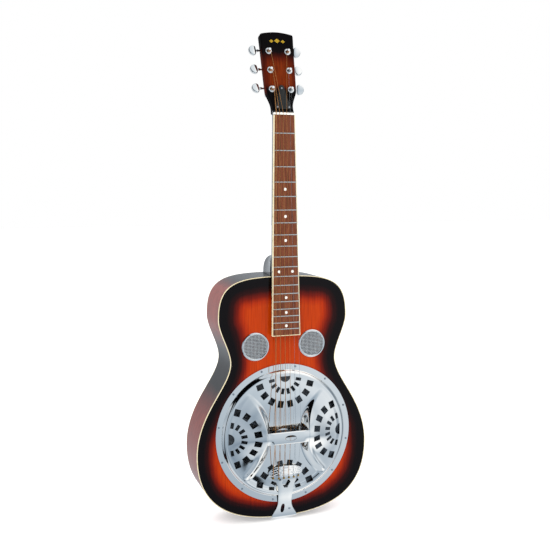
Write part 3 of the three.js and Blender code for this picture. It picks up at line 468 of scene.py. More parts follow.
def plate(y, step, thick):
    """A flat plate inside the bindings, with enough points to carry the burst."""
    shape = bmesh.new()
    shape.faces.new([shape.verts.new((x, y, z)) for x, z in outline(plate_inset)])
    gridded(shape, step, (-LOWER_BOUT / 2, 0, BODY_LOW), (LOWER_BOUT / 2, 0, BODY_HIGH))
    return thicken(shape, thick)


holes = [cylinder(WELL_RADIUS, FRONT - 9, FRONT + 9, 0, BRIDGE_Z)]
holes += [cylinder(SCREEN_HOLE, FRONT - 9, FRONT + 9, at.x, at.z, 48) for at in screens.values()]
top = add_piece("top_plate", carved(plate(FRONT, GRID, TOP_THICK), joined(holes)), burst, stands_for=["top"],
                slot="burst")
mark_burst(top)

# ---------------------------------------------------------------- back and ribs
# The flat back and the bent ribs are laminated mahogany under reddish-brown gloss lacquer, turning
# black at the waist, at the neck heel and at the tail.

BACK_THICK = 3.5
SIDE_THICK = 2.5
BINDING_SHOWN = 2.4

# Brown lacquer with a soft shine, darkening to black at the edge over open mahogany pores.
back_wood, shader = surface("brown_lacquered_mahogany", "#5c2016", roughness=0.4, coat=0.5, sheen=0.1)
spread = add_node(back_wood, "Attribute", attribute_name="burst")
wood_colour(back_wood, shader, spread.outputs["Fac"],
            [(0.0, "#0c0607"), (0.3, "#1a0a09"), (0.7, "#4a160e"), (1.0, "#6d2616")],
            (2.0, 8, 80), [(0.3, "#a8968f"), (0.7, "#ffffff")])

back = add_piece("back_plate", plate(BACK, GRID * 2, -BACK_THICK), back_wood, stands_for=["back"],
                 slot="back_wood")
mark_burst(back)

# A thin red lacquer that lets the straight grain through, black in bands across the tail, waist and heel.
rib_wood, shader = surface("translucent_red_lacquered_mahogany", "#6d2a1c", roughness=0.4, coat=0.5,
                           sheen=0.1)
where = add_node(rib_wood, "TexCoord")
apart = add_node(rib_wood, "SeparateXYZ", links={0: where.outputs["Object"]})
up = add_node(rib_wood, "MapRange", {1: BODY_LOW * MM, 2: BODY_HIGH * MM}, {0: apart.outputs["Z"]})
wood_colour(rib_wood, shader, clouded(rib_wood, up.outputs[0], (60, 60, 60), 0.015),
            [(0.0, "#0c0607"), (0.03, "#4a1a14"), (0.09, "#94483c"), (0.44, "#85392f"), (0.55, "#140b0d"),
             (0.70, "#120b0d"), (0.79, "#8f4338"), (0.955, "#9c4c41"), (0.985, "#140b0d")],
            (10, 1.8, 60), [(0.3, "#a59089"), (0.7, "#ffffff")])


def hoop(outer, inner, low, high, sign=0):
    """A band between two outlines, or its half on one side of the centre joint."""
    loops = [outline(outer), outline(inner)]
    if sign:
        count = len(loops[0]) // 2 + 1
        halves = [points[:count] for points in loops]
        return sheet([(sign * max(x, FIT / 3), z) for x, z in halves[0] + halves[1][::-1]], low, high)
    shape = bmesh.new()
    for points in loops:
        ring = [shape.verts.new((x, low, z)) for x, z in points]
        for i, vertex in enumerate(ring):
            shape.edges.new((ring[i - 1], vertex))
    bmesh.ops.bridge_loops(shape, edges=shape.edges[:])
    return thicken(shape, high - low)


for side, sign in (("bass", -1), ("treble", 1)):
    ribs = hoop(0, SIDE_THICK, FRONT + BINDING_SHOWN, BACK - BINDING_SHOWN, sign)
    add_piece("rib_" + side, ribs, rib_wood, stands_for=["side_" + side], slot="side_wood")

# ---------------------------------------------------------------- bindings
# Cream celluloid strips are glued into a rebate round both edges of the body and scraped flush,
# with their outer corner rounded over by hand. The ribs lap over all but 2.4 mm of them.

# Warm aged plastic, a little cloudy, with the shine of a scraped and buffed edge.
binding = mottled("cream_celluloid", "#ddd0aa", (12, 12, 12), "#d6c79a", "#e6dabb", 2.0,
                  roughness=0.25, coat=0.3)
for name, low, high in (("top", FRONT, FRONT + BINDING_SHOWN), ("back", BACK - BINDING_SHOWN, BACK)):
    strip = soften(hoop(0, BINDING_THICK, low, high), 0.5, 3, 60)
    add_piece(name + "_binding_strip", strip, binding, stands_for=[name + "_binding"], slot="binding")

# ---------------------------------------------------------------- inside of the body
# Bare basswood linings and blocks and a maple plywood soundwell, seen through the screens and the
# fans. They keep their plain sawn shapes with the edges broken.

# Dull unfinished wood with long pale fibres.
bare_wood = mottled("bare_basswood", "#b98f5c", (2, 2, 40), "#9a7443", "#c9a26d", roughness=0.75)
# Darker bare plywood with its thin layers on edge.
ply = mottled("maple_plywood", "#5b3d26", (6, 1.2, 6), "#46301f", "#6d4c30", roughness=0.7)


def refined(name, nodes, material, width=0.5, body="guitar", slot=None, angle=35):
    """The frame's own solids as one piece with clean faces and softened edges."""
    shape = bmesh.new()
    for node in nodes:
        shape.from_mesh(frame["nodes"][node].data)
    bmesh.ops.remove_doubles(shape, verts=shape.verts, dist=0.00001)
    bmesh.ops.scale(shape, vec=(1 / MM, 1 / MM, 1 / MM), verts=shape.verts)
    bmesh.ops.dissolve_limit(shape, angle_limit=0.01, verts=shape.verts, edges=shape.edges)
    if width:
        soften(shape, width, 2, angle)
    return add_piece(name, shape, material, body, nodes, slot)


for node in ("top_lining", "back_lining", "neck_block", "end_block"):
    refined(node + "_wood", [node], bare_wood, 0.6, slot="inner_wood")
refined("soundwell_drum", ["soundwell"], ply, 0, slot="inner_wood")


# ---------------------------------------------------------------- screens
# Two round ports, each a woven steel gauze held by a chromed brass rim pressed into the top. The
# gauze is real over-and-under wire.

WIRE_PITCH = 2.9
WIRE_RADIUS = 0.52
GAUZE_RADIUS = 25.5


def turned(profile, steps=64):
    """A lathe-turned shape about the y axis: radius, and height towards the front."""
    shape = bmesh.new()
    verts = [shape.verts.new((radius, -rise, 0)) for radius, rise in profile]
    edges = [shape.edges.new(pair) for pair in zip(verts, verts[1:])]
    bmesh.ops.spin(shape, geom=verts + edges, cent=(0, 0, 0), axis=(0, 1, 0), dvec=(0, 0, 0),
                   angle=math.tau, steps=steps, use_merge=True, use_duplicate=False)
    bmesh.ops.remove_doubles(shape, verts=shape.verts, dist=0.001)
    bmesh.ops.dissolve_degenerate(shape, dist=0.0005, edges=shape.edges)
    bmesh.ops.recalc_face_normals(shape, faces=shape.faces)
    return shape


def wires(lines, radius, resolution=1, cyclic=False):
    """Round wires along lists of points, as one mesh shape."""
    curve = bpy.data.curves.new("wire", "CURVE")
    curve.dimensions = "3D"
    curve.bevel_depth = radius
    curve.bevel_resolution = resolution
    curve.use_fill_caps = True
    for points in lines:
        spline = curve.splines.new("POLY")
        spline.points.add(len(points) - 1)
        spline.use_cyclic_u = cyclic
        for knot, point in zip(spline.points, points):
            knot.co = (*point, 1)
    obj = bpy.data.objects.new("wire", curve)
    scene.collection.objects.link(obj)
    mesh = bpy.data.meshes.new_from_object(obj.evaluated_get(bpy.context.evaluated_depsgraph_get()))
    shape = bmesh.new()
    shape.from_mesh(mesh)
    bpy.data.objects.remove(obj)
    bpy.data.curves.remove(curve)
    bpy.data.meshes.remove(mesh)
    return shape


# A near mirror, slightly hazed in patches by handling, so its shape is read from the cards.
chrome, shader = surface("polished_chrome_plate", "#fffdf9", metallic=1.0, roughness=0.05)
smudge = add_node(chrome, "MapRange", {3: 0.03, 4: 0.09}, {0: grain(chrome, (25, 25, 25), 3.0)})
chrome.node_tree.links.new(smudge.outputs[0], shader.inputs["Roughness"])
# Pale matt wire that looks like cloth from a distance.
gauze = mottled("woven_steel_wire", "#e4e6e8", (4, 4, 4), "#d4d7da", "#fafbfb", 3.0,
                metallic=0.8, roughness=0.45)

ring_low, ring_high = box("screen_ring_treble")
rim = (ring_high.x - ring_low.x) / 2
for side, centre in screens.items():
    at = Matrix.Translation((centre.x, FRONT, centre.z))
    profile = [(rim - 4.6, 0.1), (rim - 4.6, 1.1), (rim - 4.0, 2.0), (rim - 3.0, 2.4), (rim - 1.6, 2.3),
               (rim - 0.5, 1.6), (rim, 0.6), (rim, 0.1), (rim - 2.9, 0.1), (rim - 2.9, -3.6),
               (rim - 3.6, -3.6), (rim - 3.6, 0.1), (rim - 4.6, 0.1)]
    add_piece("screen_rim_" + side, turned(profile, 96), chrome, stands_for=["screen_ring_" + side],
              slot="chrome", at=at, angle=50)
    lines = []
    count = int(GAUZE_RADIUS / WIRE_PITCH)
    for k in range(-count, count + 1):
        across = k * WIRE_PITCH
        reach = math.sqrt(GAUZE_RADIUS ** 2 - across ** 2)
        steps = max(int(reach * 4 / WIRE_PITCH), 2)
        for upright in (0, 1):
            line = []
            for j in range(steps + 1):
                along = -reach + 2 * reach * j / steps
                lift = WIRE_RADIUS * math.cos(math.pi * along / WIRE_PITCH) * (-1) ** (k + upright)
                line.append((across, lift - 0.6, along) if upright else (along, lift - 0.6, across))
            lines.append(line)
    add_piece("screen_gauze_" + side, wires(lines, WIRE_RADIUS), gauze,
              stands_for=["screen_mesh_" + side], slot="gauze", at=at)

# ---------------------------------------------------------------- cone and spider
# The spun aluminium cone has a rolled rim, rings left by the spinning tool and a dimpled centre.
# The cast spider spans it on eight legs and carries two maple saddles on its hub.

CONE_RADIUS = COVER_RADIUS - 12
CONE_SEAT = -9.5
CONE_HUB = 38
CONE_DEPTH = 26.5
CONE_STEPS = 24

# Satin metal whose fine turned rings stretch every highlight round the centre.
spun, shader = surface("spun_aluminium", "#9fa2a6", metallic=1.0, roughness=0.38)
where = add_node(spun, "TexCoord")
centred = add_node(spun, "Mapping", {"Location": (0, 0, -BRIDGE_Z * MM)}, {"Vector": where.outputs["Object"]})
rings = add_node(spun, "TexWave", {"Scale": 1 / (2.4 * MM) / math.tau, "Distortion": 0.3},
                 {"Vector": centred.outputs[0]}, wave_type="RINGS", rings_direction="Y")
bump(spun, shader, rings.outputs[1], 0.15, 0.6)
# Greyer and grainier, as it came from the mould.
cast, shader = surface("cast_aluminium", "#8d9094", metallic=1.0, roughness=0.5)
bump(cast, shader, grain(cast, (1.5, 1.5, 1.5), 3.0), 0.12, 0.5)

at_bridge = Matrix.Translation((0, FRONT, BRIDGE_Z))
face = [(CONE_RADIUS, CONE_SEAT), (CONE_RADIUS - 2, CONE_SEAT + 0.4), (CONE_RADIUS - 8, CONE_SEAT)]
for k in range(CONE_STEPS + 1):
    t = k / CONE_STEPS
    radius = CONE_RADIUS - 12 + (CONE_HUB - (CONE_RADIUS - 12)) * t
    face.append((radius, CONE_SEAT - 4 - (CONE_DEPTH * t ** 0.9) + 0.35 * math.cos(k * math.pi)))
face += [(34, -40), (24, -31), (12, CONE_SEAT - 10), (2.5, CONE_SEAT - 10)]
cone = turned(face + [(radius, rise - 1) for radius, rise in reversed(face)] + [face[0]], 128)
add_piece("cone_spun", cone, spun, stands_for=["cone"], slot="spun_aluminium", at=at_bridge, angle=60)
refined("spider_cast", ["spider"], cast, 0.5, slot="cast_aluminium")

# Nearly black close-grained wood with a dull rubbed surface.
saddle_wood = mottled("ebony_capped_maple", "#2a1c14", (12, 1, 1), "#1b120d", "#3a281c", roughness=0.5)
# Plain bright steel with fine drawn lines, duller than the chrome round it.
steel, shader = surface("bright_steel", "#c3c7cc", metallic=1.0, roughness=0.22)
bump(steel, shader, grain(steel, (0.8, 0.8, 6.0), 2.0), 0.03, 0.4)
for side in ("bass", "treble"):
    refined("saddle_" + side + "_cap", ["saddle_" + side], saddle_wood, 0.4, slot="saddle_wood")


def slab(half_x, half_z, low, high):
    """A rectangular block about the y axis."""
    return sheet([(-half_x, -half_z), (half_x, -half_z), (half_x, half_z), (-half_x, half_z)], low, high)


def slotted_head(radius, rise, slot_wide):
    """A round screw head with a cut slot, its seat at the origin."""
    head = turned([(0, 0), (radius, 0), (radius, rise * 0.35), (radius * 0.8, rise * 0.8),
                   (radius * 0.4, rise), (0, rise)], 20)
    return carved(head, slab(radius, slot_wide / 2, -rise * 2, -rise * 0.55))


stud = turned([(0, -25), (2.2, -25), (2.2, 8.3), (4.4, 8.3), (4.4, 10.4), (3.5, 11.4), (0, 11.4)], 32)
add_piece("tension_screw_turned", carved(stud, slab(5, 0.5, -14, -10)), steel, "screw", ["tension_screw"],
          "steel", at_bridge)

# ---------------------------------------------------------------- coverplate
# One pressed and chromed brass sheet: a flat flange, a rounded step, a shallow dome, an
# hourglass valley under the strings, four fans of punched holes and two swellings that carry the
# handrest.

FLANGE_WIDTH = 12
STEP_WIDTH = 8
SHEET = 1.2
FLANGE_HEIGHT = 1.8
STEP_HEIGHT = 8.5
DOME_HEIGHT = 11
VALLEY_DEPTH = 4.3
REST_LONG = 84
REST_WIDE = 25
REST_UP = -1.7
REST_HEIGHT = FRONT - cover_low.y
FAN_RADIUS = 118
STEP_OUT = COVER_RADIUS - FLANGE_WIDTH
STEP_IN = STEP_OUT - STEP_WIDTH
RINGS = 78
SPOKES = 320
THROUGH = 20


def ease(t):
    """Runs smoothly from 0 to 1."""
    t = min(max(t, 0.0), 1.0)
    return t * t * (3 - 2 * t)


def lobe(x, z):
    """How far the swellings beside the valley stand above the dome."""
    out = max(abs(x) - REST_LONG / 2, 0) / 48
    along = abs(z - REST_UP) / (50 if z > REST_UP else 28)
    return (REST_HEIGHT - DOME_HEIGHT) * math.exp(-(out ** 1.8 + along ** 2))


def dome(radius):
    """The plain turned form: flange, rounded step and shallow dome."""
    if radius >= STEP_OUT:
        return FLANGE_HEIGHT
    if radius > STEP_IN:
        t = (STEP_OUT - radius) / STEP_WIDTH
        return FLANGE_HEIGHT + (STEP_HEIGHT - FLANGE_HEIGHT) * math.sin(t * math.pi / 2) ** 0.8
    arch = 0.4 * (1 - (radius / STEP_IN) ** 2) + 0.6 * ease((STEP_IN - radius) / 30)
    return STEP_HEIGHT + (DOME_HEIGHT - STEP_HEIGHT) * arch


def cover_height(x, z):
    """The coverplate's face above the top, without the handrest."""
    radius = math.hypot(x, z)
    rise = dome(radius)
    if radius > STEP_IN:
        return rise
    inside = ease((STEP_IN - radius) / 12)
    flare = REST_LONG / 2 - 3 + 12 * abs(z / 54) ** 2.5
    wall = 12 + 4 * ease(abs(z) / 60)
    outside = ease((abs(x) - flare + wall / 2) / wall)
    deep = VALLEY_DEPTH * (1 - 0.92 * ease((z - 15) / 65))
    crest = 2.6 * math.exp(-((abs(x) - flare - wall * 0.7) / 6) ** 2) * ease((-z - 15) / 25)
    return rise + inside * (outside * lobe(x, z) + crest - (1 - outside) * deep)


def fan_holes():
    """Cutters for the four fans: eight small and eight large slots and a half-moon each."""
    fan = []
    for radius, long, wide, step in ((29, 12, 6.4, 22.5), (56, 14.5, 12, 20.8)):
        for i in range(8):
            turn = Matrix.Rotation(math.radians((i - 3.5) * step), 4, "Y")
            at = Matrix.Translation((0, 0, FAN_RADIUS)) @ turn @ Matrix.Translation((0, 0, -radius))
            fan.append(placed(slab(wide / 2, long / 2, -THROUGH, THROUGH), at))
    half_turn = [math.pi * (1 + i / 24) for i in range(25)]
    fan.append(sheet(arc(0, FAN_RADIUS + 2, 11.5, 11.5, half_turn), -THROUGH, THROUGH))
    cutters = []
    for quarter in range(4):
        turn = Matrix.Rotation(quarter * math.pi / 2, 4, "Y")
        cutters += [placed(hole.copy(), turn) for hole in fan]
    for hole in fan:
        hole.free()
    slot = []
    for first, (sx, sz) in enumerate(((1, 1), (-1, 1), (-1, -1), (1, -1))):
        slot += arc(sx * 27, sz * 3.5, 5, 5, [(first + k / 6) * math.pi / 2 for k in range(7)])
    cutters.append(sheet(slot, -THROUGH, THROUGH))
    return cutters


def pressed(name, shape, height, material, **how):
    """Presses a flat sheet into a relief, and shades it by the true slope of that relief."""
    shape.normal_update()
    sides = [abs(face.normal.y) > 0.9 for face in shape.faces]
    outward = [-1 if face.normal.y < 0 else 1 for face in shape.faces]
    for vertex in shape.verts:
        vertex.co.y -= height(vertex.co.x, vertex.co.z)
    step = 0.15
    slopes = {}
    for vertex in shape.verts:
        x, z = vertex.co.x, vertex.co.z
        slope_x = (height(x + step, z) - height(x - step, z)) / (2 * step)
        slope_z = (height(x, z + step) - height(x, z - step)) / (2 * step)
        slopes[vertex.index] = Vector((-slope_x, -1, -slope_z)).normalized()
    obj = add_piece(name, shape, material, angle=30, **how)
    normals = []
    for face in obj.data.polygons:
        for corner in face.loop_indices:
            index = obj.data.loops[corner].vertex_index
            smooth = slopes[index] * -outward[face.index]
            normals.append(smooth if sides[face.index] else face.normal.copy())
    obj.data.normals_split_custom_set(normals)
    return obj


radii = [COVER_RADIUS, COVER_RADIUS - 0.4, COVER_RADIUS - 6, STEP_OUT + 0.5]
radii += [STEP_OUT - STEP_WIDTH * k / 10 for k in range(11)]
radii += [STEP_IN * (1 - k / RINGS) for k in range(1, RINGS)]
flat = [(radius, 0) for radius in radii] + [(0, 0)]
flat += [(radius, -SHEET) for radius in [0] + radii[::-1]] + [(COVER_RADIUS, 0)]
blank = carved(turned(flat, SPOKES), joined(fan_holes()))
pressed("coverplate_pressed", blank, cover_height, chrome, stands_for=["coverplate"], slot="chrome",
        at=at_bridge)

rest_end = REST_LONG / 2 + 2.2
rest_points = [(-rest_end + 2 * rest_end * k / 40, -REST_WIDE / 2) for k in range(41)]
rest_points += [(-x, REST_WIDE / 2) for x, _ in rest_points]
bm = sheet([(x, z + REST_UP) for x, z in rest_points], 0, SHEET)
gridded(bm, 1.2, (-rest_end, 0, REST_UP - REST_WIDE / 2), (rest_end, 0, REST_UP + REST_WIDE / 2))
access = sheet(arc(4, REST_UP, 12.5, 5.75, [math.tau * k / 48 for k in range(48)]), -THROUGH, THROUGH)


def rest_height(x, z):
    """The handrest is a strap with a shallow crown and rolled long edges."""
    middle = ease((REST_LONG / 2 - abs(x)) / 12)
    edge = max(abs(z - REST_UP) - (REST_WIDE / 2 - 2.4), 0) / 2.4
    crown = REST_HEIGHT - 0.7 * ((z - REST_UP) / REST_WIDE * 2) ** 2 - 1.4 * edge ** 2.2
    return middle * crown + (1 - middle) * (DOME_HEIGHT + lobe(0, z)) + 0.04


pressed("handrest_strap", carved(bm, access), rest_height, chrome, slot="chrome", at=at_bridge)

SCREW_CIRCLE = 139.5
screws = []
for k in range(12):
    turn = math.radians(10 + 30 * k)
    at = Matrix.Translation((SCREW_CIRCLE * math.sin(turn), -FLANGE_HEIGHT, SCREW_CIRCLE * math.cos(turn)))
    screws.append(placed(slotted_head(2.3, 1.3, 0.6), at @ Matrix.Rotation(k * 1.1, 4, "Y")))
add_piece("coverplate_screws", joined(screws), steel, slot="steel", at=at_bridge)

# ---------------------------------------------------------------- tailpiece
# A chromed steel stamping hooks over the tail, narrows to a waist and spreads into a ribbed
# comb that holds the six ball ends. It has a strap slot and one small screw.

COMB_ABOVE = 80
ANCHOR_DOWN = 26
TAIL_SHEET = 1.8
TAIL_BEND = 1.6
RIB_HEIGHT = 0.75
RIB_PITCH = 4.7
COMB_CROWN = 4.6

tail_high = box("tailpiece")[1]
COVER_LOW = BRIDGE_Z - COVER_RADIUS
COMB_Z = COVER_LOW + COMB_ABOVE
ANCHOR_Z = COMB_Z - ANCHOR_DOWN
COMB_HALF = tail_high.x
TAIL_UNDER = FRONT - tail_high.y + 1

STRING_RADII = [0.66, 0.53, 0.41, 0.31, 0.21, 0.16]
SADDLE_SPREAD = 54
NUT_SPREAD = 36


def string_x(i, spread):
    """How far across string i lies, counted from the bass side."""
    return -spread / 2 + spread / (len(STRING_RADII) - 1) * i


def tail_height(x, z):
    """How far the stamping's face stands above the top, with its ribs and its rolled sides."""
    knots = [(COMB_Z, 14.2), (ANCHOR_Z, 15.8), (COVER_LOW + 26, 11.6), (COVER_LOW + 18, 10.2),
             (COVER_LOW + 4, 6.6), (COVER_LOW - 14, 3.4), (BODY_LOW + 4, 2.0), (-50, 2.0)]

    def line(at):
        for (z1, h1), (z0, h0) in zip(knots, knots[1:]):
            if at >= z0:
                return h0 + (h1 - h0) * min((at - z0) / (z1 - z0), 1)
        return knots[-1][1]
    rise = sum(line(z + d) for d in (-5, -3, -1, 1, 3, 5)) / 6
    comb = ease((z - ANCHOR_Z - 3) / 5)
    ribs = RIB_HEIGHT * math.cos(math.tau * (z + x * x / 150) / RIB_PITCH) * comb
    ribs *= ease((COMB_HALF - 2 - abs(x)) / 6)
    rolled = 1.1 * (1 - comb) * (x / 19) ** 4 * ease((z - 30) / 20)
    return rise + ribs - COMB_CROWN * comb * (x / COMB_HALF) ** 2 - rolled


def smoothed(points, rounds=2):
    """Cuts the corners of an outline until it runs in soft curves."""
    for _ in range(rounds):
        cut = []
        for (x0, z0), (x1, z1) in zip(points, points[1:] + points[:1]):
            cut += [(x0 * (1 - t) + x1 * t, z0 * (1 - t) + z1 * t) for t in (0.25, 0.75)]
        points = cut
    return points


def mirrored(half):
    """A whole outline from its treble half."""
    return half + [(-x, z) for x, z in reversed(half)]


half = [(14, TAIL_UNDER), (15, BODY_LOW - 14), (27, BODY_LOW - 3), (27.5, BODY_LOW + 2), (22, BODY_LOW + 11),
        (15, COVER_LOW - 9), (14, COVER_LOW + 8), (16, ANCHOR_Z - 21), (19, ANCHOR_Z - 12),
        (23, ANCHOR_Z - 5), (34, ANCHOR_Z + 4), (COMB_HALF + 0.6, ANCHOR_Z + 9), (COMB_HALF, ANCHOR_Z + 14),
        (COMB_HALF - 4, COMB_Z - 7), (COMB_HALF / 2, COMB_Z - 1)]
cuts = [[(-13, ANCHOR_Z - 4), (0, ANCHOR_Z - 27), (13, ANCHOR_Z - 4)],
        [(-9, COVER_LOW - 23), (-1, COVER_LOW - 23), (1, COVER_LOW - 4), (-7, COVER_LOW - 4)]]
for i in range(len(STRING_RADII)):
    left, right = string_x(i, SADDLE_SPREAD) - 1.4, string_x(i, SADDLE_SPREAD) + 1.4
    cuts.append([(left, ANCHOR_Z - 1), (right, ANCHOR_Z - 1), (right, ANCHOR_Z + 4), (left, ANCHOR_Z + 4)])
cutters = [sheet(smoothed(points, 1), -THROUGH, THROUGH) for points in cuts]
bm = sheet(smoothed(mirrored(half)), -TAIL_SHEET, 0)
bm = gridded(carved(bm, joined(cutters)), 1.3, (-COMB_HALF - 1, 0, TAIL_UNDER),
             (COMB_HALF + 1, 0, COMB_Z + 1))
for vertex in bm.verts:
    depth = -vertex.co.y
    over = BODY_LOW - vertex.co.z
    if over <= 0:
        vertex.co.y = FRONT - tail_height(vertex.co.x, vertex.co.z) - depth + TAIL_SHEET
        continue
    turn = min(over / TAIL_BEND, math.pi / 2)
    out = 0.2 + depth
    vertex.co.y = FRONT - out * math.cos(turn) + max(over - TAIL_BEND * math.pi / 2, 0)
    vertex.co.z = BODY_LOW - out * math.sin(turn)
bmesh.ops.recalc_face_normals(bm, faces=bm.faces)
add_piece("tailpiece_stamped", bm, chrome, stands_for=["tailpiece"], slot="chrome", angle=40)
screw_z = COVER_LOW - 16
add_piece("tailpiece_screw", slotted_head(2.4, 1.3, 0.6), steel, slot="steel",
          at=Matrix.Translation((11, FRONT - tail_height(11, screw_z), screw_z)))
pin_top = box("end_pin")[1].z
pin = turned([(0, 0), (7.2, 0), (8.6, 0.5), (9.4, 1.8), (9.2, 3.4), (7.4, 4.6), (6.0, 5.4), (6.6, 6.2),
              (5, 6.4), (4, pin_top), (0, pin_top)], 48)
add_piece("end_pin_turned", pin, chrome, stands_for=["end_pin"], slot="chrome",
          at=Matrix.Rotation(-math.pi / 2, 4, "X"))

# ---------------------------------------------------------------- neck
# One mahogany neck with a rounded back and a deep heel glued to the body, tilted back a little
# from the plane of the top and sprayed black.

NECK_ANGLE = math.radians(1.43)
HEAD_TILT = math.radians(13.6)
NUT_DROP = 0.7
NUT_LONG = 4
NUT_WIDTH = 43.5
SCALE = 635
COMPENSATION = 6
BOARD_THICK = 6
FRETS = 19
NECK_THICK = 21
HEEL_HALF = 18
HEEL_OUT = 36
HEEL_SWEEP = 38
HEEL_DEEP = 80

NUT_Z = BRIDGE_Z + COMPENSATION + SCALE
BOARD_END_WIDTH = box("fretboard_binding")[1].x * 2
BOARD_LONG = SCALE * (1 - 2 ** (-FRETS / 12)) + 14
neck_at = Matrix.Translation((0, FRONT + NUT_DROP, NUT_Z)) @ Matrix.Rotation(-NECK_ANGLE, 4, "X")
head_at = neck_at @ Matrix.Translation((0, FIT / 2, NUT_LONG + 2 * FIT)) @ Matrix.Rotation(-HEAD_TILT, 4, "X")
corner = neck_at.inverted() @ Vector((0, FRONT, BODY_HIGH + FIT))


def board_half(down):
    """Half the fretboard's width that far down from the nut."""
    return (NUT_WIDTH + (BOARD_END_WIDTH - NUT_WIDTH) * down / BOARD_LONG) / 2


def loft(sections):
    """A closed skin through rings of points."""
    shape = bmesh.new()
    rings = []
    for points in sections:
        verts = [shape.verts.new(point) for point in points]
        rings.append([shape.edges.new((verts[i - 1], verts[i])) for i in range(len(verts))])
    for first, second in zip(rings, rings[1:]):
        bmesh.ops.bridge_loops(shape, edges=first + second)
    for ring in (rings[0], rings[-1]):
        bmesh.ops.contextual_create(shape, geom=ring)
    bmesh.ops.recalc_face_normals(shape, faces=shape.faces)
    return shape


# Deep piano black with sharp highlights, and only a trace of grain in them.
black = mottled("black_lacquered_mahogany", "#0b0809", (3, 3, 60), "#070506", "#171011",
                roughness=0.35, coat=1.0, sheen=0.1)

RING_STEPS = 48
ring_turns = [math.tau * k / RING_STEPS for k in range(RING_STEPS)]


def shaft_ring(t):
    """The neck's cross-section, from the nut at 0 to the body at 1."""
    start = NUT_LONG + 4
    length = start - corner.z
    wide = board_half(max(t * -corner.z - start, 0))
    thick = NECK_THICK + 4 * t + 3.5 * math.exp(-(t * length / 16) ** 2)
    points = []
    for turn in ring_turns:
        lift = max(math.sin(turn), 0) ** 0.85 * thick
        lean = (lift - corner.y) * math.tan(NECK_ANGLE) * t
        points.append((wide * math.cos(turn), FIT / 2 + lift, start - length * t + lean))
    return points


def heel_ring(t):
    """The heel's outline, from the fretboard at 0 to its rounded tip at 1."""
    deep = FRONT + 4 + HEEL_DEEP * t
    tip = max(t - 0.94, 0) * 30
    wide = board_half(-corner.z) * (1 - t) ** 1.6 + HEEL_HALF * (1 - (1 - t) ** 1.6) - tip
    out = HEEL_OUT + HEEL_SWEEP * (1 - t) ** 3.2 - tip
    return [(wide * math.cos(turn), deep, BODY_HIGH + FIT + max(math.sin(turn), 0) ** 0.75 * out)
            for turn in ring_turns]


add_piece("neck_shaft", loft([shaft_ring(k / 24) for k in range(25)]), black, stands_for=["neck"],
          slot="neck_wood", at=neck_at, angle=40)
add_piece("neck_heel", loft([heel_ring(k / 28) for k in range(29)]), black, slot="neck_wood", angle=40)
tongue_half = board_half(-corner.z) - 1.5
tongue_end = corner.y + (corner.z + BOARD_LONG) * 0.025
under = [(FIT / 2, corner.z + 4), (FIT / 2, -BOARD_LONG + 1), (tongue_end, -BOARD_LONG + 1),
         (corner.y - FIT, corner.z + 4)]
tongue = loft([[(x, y, z) for y, z in under] for x in (-tongue_half, tongue_half)])
add_piece("neck_tongue", tongue, black, slot="neck_wood", at=neck_at)

# ---------------------------------------------------------------- headstock
# The solid headstock widens over shoulders to a shallow arched top. Its face is burst from black
# through reddish brown to a warm orange, and carries a plain gold ornament of three lozenges.

HEAD_THICK = 15
HEAD_LENGTH = 161
HEAD_TOP = 69
HEAD_SHOULDER = 62
SHOULDER_UP = 40
HEAD_ARCH = 6

start, shoulder, top_half = NUT_WIDTH / 2, HEAD_SHOULDER / 2, HEAD_TOP / 2
half = [(start, -2), (start - 0.6, 8), (start - 0.2, SHOULDER_UP * 0.45), (start + 2.6, SHOULDER_UP * 0.66),
        (shoulder - 2.4, SHOULDER_UP * 0.92), (shoulder, SHOULDER_UP + 3), (shoulder + 0.6, SHOULDER_UP + 16),
        (top_half - 0.8, HEAD_LENGTH - 22), (top_half, HEAD_LENGTH - 6), (top_half, HEAD_LENGTH + 2),
        (top_half - 3, HEAD_LENGTH + 3.6), (top_half * 0.6, HEAD_LENGTH + HEAD_ARCH * 0.95),
        (top_half * 0.2, HEAD_LENGTH + HEAD_ARCH * 1.25)]
bm = soften(sheet(smoothed(mirrored(half), 3), 0, HEAD_THICK), 0.9, 3, 50)
posts = {}
for joint in frame["joints"]:
    if joint["name"].startswith("tuner_post"):
        posts[int(joint["name"][-1])] = head_at.inverted() @ (Vector(joint["pos_m"]) / MM)
cutters = [cylinder(4.8, -20, 40, at.x, at.z, 24) for at in posts.values()]
bm = gridded(carved(bm, joined(cutters)), 5, (-top_half, 0, -2), (top_half, 0, HEAD_LENGTH + HEAD_ARCH))
# The same lacquer as the top over darker wood: a soft brown glow on the face that dies away at every edge,
# and a painted highlight down the sides.
head_face, shader = surface("burst_lacquered_headstock_painted_side_highlight", "#5a1a0c", roughness=0.4, coat=0.1, sheen=0.0)
spread = add_node(head_face, "Attribute", attribute_name="burst")
wood_colour(head_face, shader, clouded(head_face, spread.outputs["Fac"], (16, 16, 26), 0.12, 3.0),
            [(0.0, "#070506"), (0.25, "#100708"), (0.5, "#3c0f06"), (0.75, "#5e1c07"), (1.0, "#752b09")],
            (1.4, 8, 50), [(0.3, "#a2928b"), (0.7, "#ffffff")])
burst_and_painted_side_highlight = []
for vertex in bm.verts:
    x, z = abs(vertex.co.x), vertex.co.z
    fade = ease((z - 38) / 22) * (1 - ease((z - HEAD_LENGTH + 66) / 48)) * (1 - 0.4 * ease((x - 16) / 18))
    # A painted highlight on the sides and back: reddish brown along the middle of their length.
    side = ease((z - 30) / 20) * 0.62 * (1 - ease((z - HEAD_LENGTH + 50) / 40))
    burst_and_painted_side_highlight.append(fade if vertex.co.y < 0.5 else side)
headstock = add_piece("headstock_burst_painted_side_highlight", bm, head_face, slot="neck_wood", at=head_at, angle=40)
marks = headstock.data.attributes.new("burst", "FLOAT", "POINT")
for mark, value in zip(marks.data, burst_and_painted_side_highlight):
    mark.value = value

